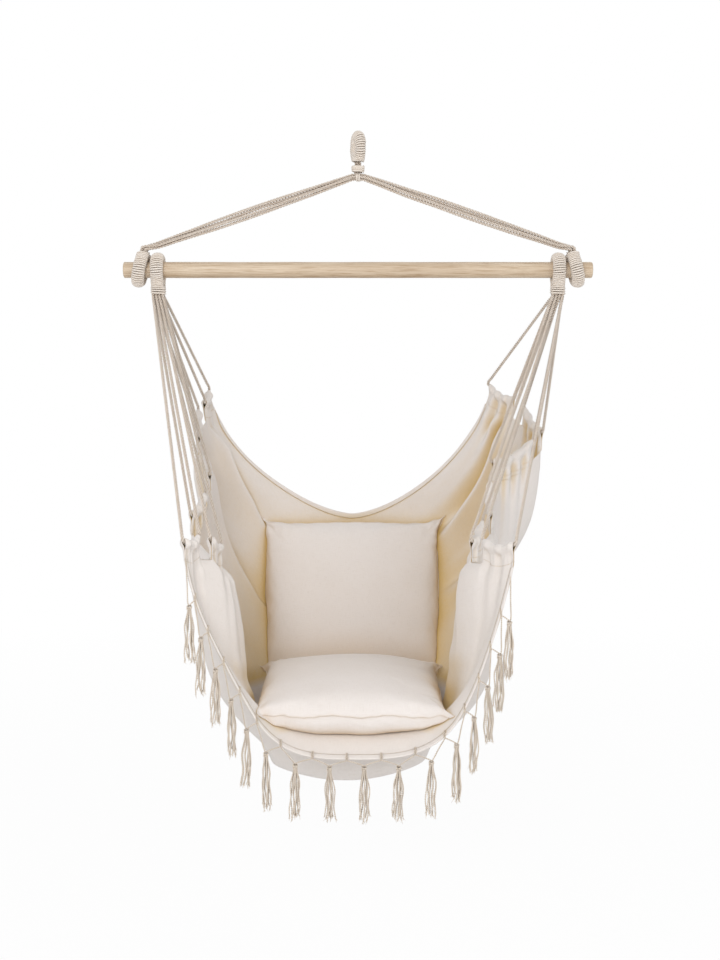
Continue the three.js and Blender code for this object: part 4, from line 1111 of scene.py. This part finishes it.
def make_seat_necks():
    half_x = (SLOT_COLUMNS - 1) * SLOT_SPACING / 2 + 4.3
    half_y = (SLOT_ROWS - 1) * SLOT_SPACING / 2 + 4.3
    for side, sign in SIDES:
        rings = [(-NECK_TOP + 7, half_x - 1, half_y + 9), (-NECK_TOP, half_x, half_y + 3),
                 (-NECK_TOP - NECK_HEIGHT - 1, half_x + 0.4, half_y)]
        points, faces = coil(rings, 3.6, 4)
        points[:, 0] += sign * SEAT_LOOP_X
        make_mesh(f"seat_neck_turns_{side}", points, faces, WHIPPING_YARN, "seat", [f"seat_neck_{side}"], "rope")


make_seat_cords()
make_seat_necks()

# Cushions

CUSHION_DRAW_IN = 11.0
CUSHION_CELLS = 76
CUSHION_FLATNESS = 0.55
PUFF_FRAMES = 18
PUFF_REACH = 0.026


class Pillow:
    """Two square sheets sewn together at the rim, a little raised and ready to be filled."""

    def __init__(self, width, depth, upper, lower):
        self.points, self.faces, self.flat, self.number, self.place = [], [], [], {}, []
        self.half = (width / 2, depth / 2)
        for side, height in ((1, upper), (-1, lower)):
            for r in range(CUSHION_CELLS + 1):
                for c in range(CUSHION_CELLS + 1):
                    self.add_point(side, height, r, c)
        for side in (1, -1):
            for r in range(CUSHION_CELLS):
                for c in range(CUSHION_CELLS):
                    corners = [(r, c), (r + 1, c), (r + 1, c + 1), (r, c + 1)]
                    face = tuple(self.number[(side, *corner)] for corner in corners)
                    self.faces.append(face if side > 0 else face[::-1])
        self.points, self.place = np.array(self.points), np.array(self.place)
        last = CUSHION_CELLS
        rim = [(0, c) for c in range(last)] + [(r, last) for r in range(last)]
        rim += [(last, c) for c in range(last, 0, -1)] + [(r, 0) for r in range(last, 0, -1)]
        self.rim = [self.number[(1, r, c)] for r, c in rim]

    def add_point(self, side, height, r, c):
        at_rim = r in (0, CUSHION_CELLS) or c in (0, CUSHION_CELLS)
        if side < 0 and at_rim:
            self.number[(side, r, c)] = self.number[(1, r, c)]
            return
        u, v = (even_share(2 * k / CUSHION_CELLS - 1) for k in (c, CUSHION_CELLS - r))
        swell = 0 if at_rim else ((1 - u * u) * (1 - v * v)) ** CUSHION_FLATNESS
        x = u * (self.half[0] - CUSHION_DRAW_IN * (1 - v ** 6))
        y = v * (self.half[1] - CUSHION_DRAW_IN * (1 - u ** 6))
        self.number[(side, r, c)] = len(self.points)
        self.points.append((x, y, side * height * swell))
        self.flat.append((x * MM + 0.5, y * MM + 0.5))
        self.place.append((u, v, side))

    def puckered(self, points):
        """Small gathers that run in from the seam, strongest at the corners."""
        u, v, side = self.place.T
        wide, narrow = np.maximum(abs(u), abs(v)), np.minimum(abs(u), abs(v))
        inward = (1 - wide) * self.half[0]
        along = np.where(abs(u) > abs(v), v * self.half[1], u * self.half[0])
        corner = smooth(0.5, 0.95, narrow / np.maximum(wide, 0.01))
        quarter = np.arctan2(v, u)
        wave = np.sin(along * 0.23 + 2.1 * np.sin(along * 0.031 + quarter * 2) + side)
        size = (0.7 + 2.3 * corner) * np.exp(-inward / 24)
        slow = 2.4 * np.sin(along * 0.045 + quarter * 3 + side * 2) * np.exp(-inward / 60)
        moved = points.copy()
        moved[:, 2] += side * (wave * size + slow)
        pull = (1 + np.sin(along * 0.15 + quarter * 2)) * (0.5 + 1.6 * corner) * np.exp(-inward / 30)
        moved[:, 0] -= np.where(abs(u) > abs(v), np.sign(u), 0) * pull
        moved[:, 1] -= np.where(abs(u) > abs(v), 0, np.sign(v)) * pull
        return moved


def even_share(value):
    """Cells get narrower towards the rim, where the folds are finer."""
    return (math.sin(math.pi / 2 * value) + value) / 2


def filled(points, faces, pressure, grow):
    """The cover blown up by cloth simulation, each point kept near where it was."""
    mesh = bpy.data.meshes.new("cover")
    mesh.from_pydata((points * MM).tolist(), [], faces)
    cover = bpy.data.objects.new("cover", mesh)
    bpy.context.collection.objects.link(cover)
    cloth = cover.modifiers.new("cloth", "CLOTH")
    cloth.point_cache.frame_end = PUFF_FRAMES
    settings = cloth.settings
    settings.use_pressure = True
    settings.uniform_pressure_force = pressure
    settings.tension_stiffness = 15
    settings.compression_stiffness = 15
    settings.shear_stiffness = 5
    settings.bending_stiffness = 0.05
    settings.mass = 0.15
    settings.air_damping = 2
    settings.quality = 5
    settings.shrink_min = -grow
    settings.effector_weights.gravity = 0
    for frame_number in range(1, PUFF_FRAMES + 1):
        bpy.context.scene.frame_set(frame_number)
    result = cover.evaluated_get(bpy.context.evaluated_depsgraph_get()).data
    moved = np.empty(len(result.vertices) * 3)
    result.vertices.foreach_get("co", moved)
    bpy.data.objects.remove(cover)
    bpy.context.scene.frame_set(1)
    move = moved.reshape(-1, 3) / MM - points
    far = np.linalg.norm(move, axis=1, keepdims=True)
    return points + move * np.minimum(1, PUFF_REACH / MM / np.maximum(far, 1e-6))


def placed(points, tilt, x, y, drop):
    c, s = math.cos(tilt), math.sin(tilt)
    turned = points @ np.array(((1, 0, 0), (0, c, s), (0, -s, c)))
    return turned + np.array((x, y, -drop))


def sling_tree():
    rows, columns = SLING_GRID.shape[:2]
    low, high = NOTCH_COLUMNS - 2, columns - NOTCH_COLUMNS + 2
    part = SLING_GRID[:, low:high]
    count = part.shape[1]
    faces = [(r * count + c, (r + 1) * count + c, (r + 1) * count + c + 1, r * count + c + 1)
             for r in range(rows - 1) for c in range(count - 1)]
    return BVHTree.FromPolygons([Vector(p) for p in part.reshape(-1, 3)], faces)


TREE = sling_tree()
BOWL_CENTRE = Vector((-15, -90, -930))


def keep_inside(points, margin):
    """Moves points that are within a margin of the cloth, or beyond it, to the cloth's inner side."""
    out = points.copy()
    for i, point in enumerate(points):
        place = Vector(point)
        near, normal, _, _ = TREE.find_nearest(place)
        if near is None:
            continue
        if normal.dot(BOWL_CENTRE - near) < 0:
            normal = -normal
        depth = (place - near).dot(normal)
        if depth < margin:
            out[i] = np.array(place + normal * (margin - depth))
    return out


def smooth_points(points, faces, rounds, weight):
    """Evens a mesh where it was moved."""
    count = len(points)
    edges = set()
    for face in faces:
        for a, b in zip(face, face[1:] + face[:1]):
            edges.add((min(a, b), max(a, b)))
    edges = np.array(sorted(edges))
    degree = np.bincount(edges.ravel(), minlength=count)[:, None]
    for _ in range(rounds):
        total = np.zeros_like(points)
        np.add.at(total, edges[:, 0], points[edges[:, 1]])
        np.add.at(total, edges[:, 1], points[edges[:, 0]])
        points = points + (total / degree - points) * weight[:, None]
    return points


def above_seat_cushion(points, tree, margin):
    out = points.copy()
    for i, point in enumerate(points):
        start = Vector((point[0], point[1], -700))
        hit, _, _, _ = tree.ray_cast(start, Vector((0, 0, -1)))
        if hit is not None and point[2] < hit.z + margin:
            out[i, 2] = hit.z + margin
    return out


def seam_thread(points, pillow, seed):
    """The seam's ridge and its stitches, round the rim."""
    rim = points[pillow.rim]
    rim = np.vstack([rim, rim[:1]])
    middle = points.mean(axis=0)
    out = rim - middle
    out[:, 2] *= 0.3
    out /= np.linalg.norm(out, axis=1, keepdims=True)
    ridge = tube(even(rim + out * 0.5, 3.0), 0.9, 8)
    stitches = ticks_along(rim + out * 0.4, out, 0.9, 4.4, 2.9, 0.42)
    return ridge, join(stitches)


def finish_cushion(name, body, node, points, pillow, fill):
    cover = make_mesh(f"{name}_cover", points, pillow.faces, CUSHION, body, [node], "cushion_cloth",
                      np.array(pillow.flat))
    fine = cover.modifiers.new("smooth", "SUBSURF")
    fine.levels = 1
    fine.render_levels = 1
    ridge, stitches = seam_thread(points, pillow, fill)
    make_mesh(f"{name}_seam", *ridge, CUSHION, body, (), "cushion_cloth")
    make_mesh(f"{name}_seam_stitches", *stitches, THREAD, body, (), "cushion_cloth")


def rest_on_cloth(points, faces, extra, rounds=2):
    """Presses a filled cushion against the cloth, evening it where it had to give."""
    for _ in range(rounds):
        inside = extra(keep_inside(points, 2.6))
        moved = np.linalg.norm(inside - points, axis=1)
        points = smooth_points(inside, faces, 4, np.clip(moved / 16, 0, 0.5))
    return extra(keep_inside(points, 2.2))


def make_cushions():
    seat = Pillow(404, 428, 50, 66)
    points = filled(seat.points, seat.faces, 1.0, 0.03)
    points = placed(seat.puckered(points), math.radians(0.8), -15, -123, 1154)
    points = rest_on_cloth(points, seat.faces, lambda at: at)
    finish_cushion("seat_cushion", "loose_seat_cushion", "seat_cushion", points, seat, 0.7)
    tree = BVHTree.FromPolygons([Vector(p) for p in points], seat.faces)
    back = Pillow(438, 428, 52, 52)
    points = filled(back.points, back.faces, 1.3, 0.035)
    points = placed(back.puckered(points), math.radians(74.5), -15, 196, 1032)
    points = rest_on_cloth(points, back.faces, lambda at: above_seat_cushion(at, tree, 1.5))
    finish_cushion("back_cushion", "loose_back_cushion", "back_cushion", points, back, 0.75)


make_cushions()

# Fringe and tassels

TASSEL_COUNT = 16
TASSEL_LENGTH = 122.0
FRINGE_RADIUS = 1.7


def tassel_top(index):
    low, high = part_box(f"tassel_{index:02d}")
    return np.array(((low.x + high.x) / 2, (low.y + high.y) / 2, high.z)) / MM


TOPS = [tassel_top(i + 1) for i in range(TASSEL_COUNT)]


def hem_stitches():
    """Where the fringe cord goes through the hem, one more than there are tassels."""
    hem = SLING_GRID[-1, INNER]
    total = lengths(hem)[-1]
    span = total - 2 - 26
    return at_lengths(hem, [2 + span * i / TASSEL_COUNT for i in range(TASSEL_COUNT + 1)])


def knot(top, seed):
    """A thumb knot of doubled cord."""
    random = np.random.default_rng(seed)
    parts = []
    for turn in range(2):
        points = []
        for k in range(25):
            angle = 2 * math.pi * k / 24 + turn * 2.4
            points.append(top + np.array((4.0 * math.cos(angle), 3.2 * math.sin(angle),
                                          -4.6 - turn * 3.4 + 1.7 * math.sin(angle + turn + random.random() * 0.1))))
        parts.append(tube(np.array(points), 1.9, 10, 2, 9.0, seed))
    return parts


def yarn_fall(top, seed):
    """Loose two-ply yarns that spread and wave below the knot, frayed at their ends."""
    random = np.random.default_rng(seed)
    parts = []
    strands = 9
    lean = random.normal(0, 2.2, 2)
    for i in range(strands):
        angle = 2 * math.pi * (i + random.random() * 0.7) / (strands - 1)
        far = 0.3 if i == 0 else 1.0
        spread = 5.6 + random.random() * 4.6
        length = TASSEL_LENGTH * (0.87 + random.random() * 0.11)
        phase = random.random(2) * 6.28
        points = []
        for share in np.linspace(0, 1, 12):
            reach = far * (2.6 + (spread - 2.6) * smooth(0.0, 0.45, share))
            wave = 1.7 * math.sin(share * 11 + phase[0]) * share ** 0.7
            x = reach * math.cos(angle) + lean[0] * share * share + wave
            y = reach * math.sin(angle) * 0.7 + lean[1] * share * share + 1.1 * math.sin(share * 9 + phase[1]) * share
            points.append(top + np.array((x, y, -5 - (length - 14) * share)))
        line = even(catmull(points, 5), 2.0)
        parts.append(tube(line, 1.75, 10, 2, 9.0, i))
        parts += frayed_end(line, length, random)
    return parts


def frayed_end(line, length, random):
    tip = line[-1]
    away = unit(line[-1] - line[-6])
    parts = []
    for _ in range(5):
        side = random.normal(0, 0.22, 3)
        start = tip + random.normal(0, 0.5, 3) - away * 2
        reach = 6 + random.random() * 4
        points = np.array([start, start + (away + side * 0.5) * reach * 0.5, start + (away + side) * reach])
        parts.append(tube(points, np.array([0.55, 0.5, 0.3]), 5))
    return parts


def make_tassels():
    for index, top in enumerate(TOPS):
        name = f"tassel_{index + 1:02d}"
        parts = knot(top, index) + yarn_fall(top, index + 50)
        make_mesh(f"yarn_{name}", *join(parts), FRINGE, "seat", [name], "fringe_yarn")


def make_fringe_cord():
    stitches = hem_stitches()
    parts = []
    for index, top in enumerate(TOPS):
        foot = top + np.array((0, 0, -3.0))
        for side, stitch in ((-1, stitches[index]), (1, stitches[index + 1])):
            hole = stitch + np.array((side * 0.8, 5.0, 9.0))
            points = [hole + (0, 4.5, -1), hole + (0, -3.4, -0.5), stitch + (side * 0.8, -3.4, -1.0),
                      stitch * 0.5 + foot * 0.5 + (side * 1.4, -2.2, 1.0),
                      foot + (side * 1.8, -0.6, 2.5), foot + (-side * 0.6, 0.6, 0)]
            line = even(catmull(points, 8), 1.4)
            parts.append(tube(line, FRINGE_RADIUS, 12, 2, 8.0, index))
    make_mesh("fringe_v_cords", *join(parts), FRINGE, "seat", ["fringe_cord"], "fringe_yarn")


make_tassels()
make_fringe_cord()

# Floor, backdrop and light


def floor_paint(colour, shown):
    """Pale paint that the camera sees near white, with the object's shadow left faintly on it."""
    material = bpy.data.materials.new("floor_paint")
    material.use_nodes = True
    nodes, links = material.node_tree.nodes, material.node_tree.links
    shader = nodes["Principled BSDF"]
    shader.inputs["Base Color"].default_value = (*colour, 1)
    shader.inputs["Roughness"].default_value = 1.0
    shader.inputs["Specular IOR Level"].default_value = 0.0
    white = nodes.new("ShaderNodeEmission")
    white.inputs["Strength"].default_value = 1.0
    mix = nodes.new("ShaderNodeMixShader")
    far = nodes.new("ShaderNodeVectorMath")
    far.operation = "LENGTH"
    links.new(nodes.new("ShaderNodeTexCoord").outputs["Object"], far.inputs[0])
    reach = nodes.new("ShaderNodeMapRange")
    for key, value in (("From Min", 1.7), ("From Max", 3.6), ("To Min", shown), ("To Max", 1.0)):
        reach.inputs[key].default_value = value
    links.new(far.outputs["Value"], reach.inputs["Value"])
    share = nodes.new("ShaderNodeMath")
    share.operation = "MULTIPLY"
    links.new(seen_directly(nodes, links), share.inputs[0])
    links.new(reach.outputs["Result"], share.inputs[1])
    links.new(share.outputs[0], mix.inputs[0])
    links.new(shader.outputs[0], mix.inputs[1])
    links.new(white.outputs[0], mix.inputs[2])
    links.new(mix.outputs[0], nodes["Material Output"].inputs["Surface"])
    return material


def seen_directly(nodes, links):
    """1 for rays from the camera and for those that mirror or glass pass on, otherwise 0."""
    path = nodes.new("ShaderNodeLightPath")
    last = path.outputs["Is Camera Ray"]
    for name in ("Is Glossy Ray", "Is Transmission Ray"):
        either = nodes.new("ShaderNodeMath")
        either.operation = "MAXIMUM"
        links.new(last, either.inputs[0])
        links.new(path.outputs[name], either.inputs[1])
        last = either.outputs[0]
    return last


def make_floor():
    size = 6.0
    drop = -1.62
    mesh = bpy.data.meshes.new("floor")
    mesh.from_pydata([(-size, -size, drop), (size, -size, drop), (size, size, drop), (-size, size, drop)], [],
                     [(0, 1, 2, 3)])
    floor = bpy.data.objects.new("floor", mesh)
    floor.data.materials.append(floor_paint((0.9, 0.9, 0.9), 0.93))
    bpy.context.collection.objects.link(floor)


def white_world():
    world = bpy.data.worlds.new("world")
    bpy.context.scene.world = world
    world.use_nodes = True
    nodes = world.node_tree.nodes
    links = world.node_tree.links
    light = nodes["Background"]
    light.inputs["Color"].default_value = (0.98, 0.99, 1.0, 1)
    light.inputs["Strength"].default_value = 0.69
    seen = nodes.new("ShaderNodeBackground")
    seen.inputs["Color"].default_value = (1, 1, 1, 1)
    seen.inputs["Strength"].default_value = 1.0
    mix = nodes.new("ShaderNodeMixShader")
    links.new(seen_directly(nodes, links), mix.inputs[0])
    links.new(light.outputs[0], mix.inputs[1])
    links.new(seen.outputs[0], mix.inputs[2])
    links.new(mix.outputs[0], nodes["World Output"].inputs["Surface"])


def area_light(name, place, target, size, power, colour):
    data = bpy.data.lights.new(name, "AREA")
    data.shape = "DISK"
    data.size = size
    data.energy = power
    data.color = colour
    lamp = bpy.data.objects.new(name, data)
    lamp.location = place
    lamp.rotation_euler = (Vector(target) - Vector(place)).to_track_quat("-Z", "Y").to_euler()
    bpy.context.collection.objects.link(lamp)


make_floor()
white_world()
area_light("key", (-0.6, -3.0, 0.3), (0, 0, -0.9), 1.4, 42, (1.0, 0.99, 0.98))
area_light("fill", (2.2, -2.2, -0.3), (0, 0, -0.9), 2.0, 12, (0.98, 0.99, 1.0))
area_light("rim", (1.2, 2.2, 0.9), (0, 0, -0.8), 1.2, 8, (1.0, 0.99, 0.98))
bpy.context.scene.view_settings.view_transform = "Standard"
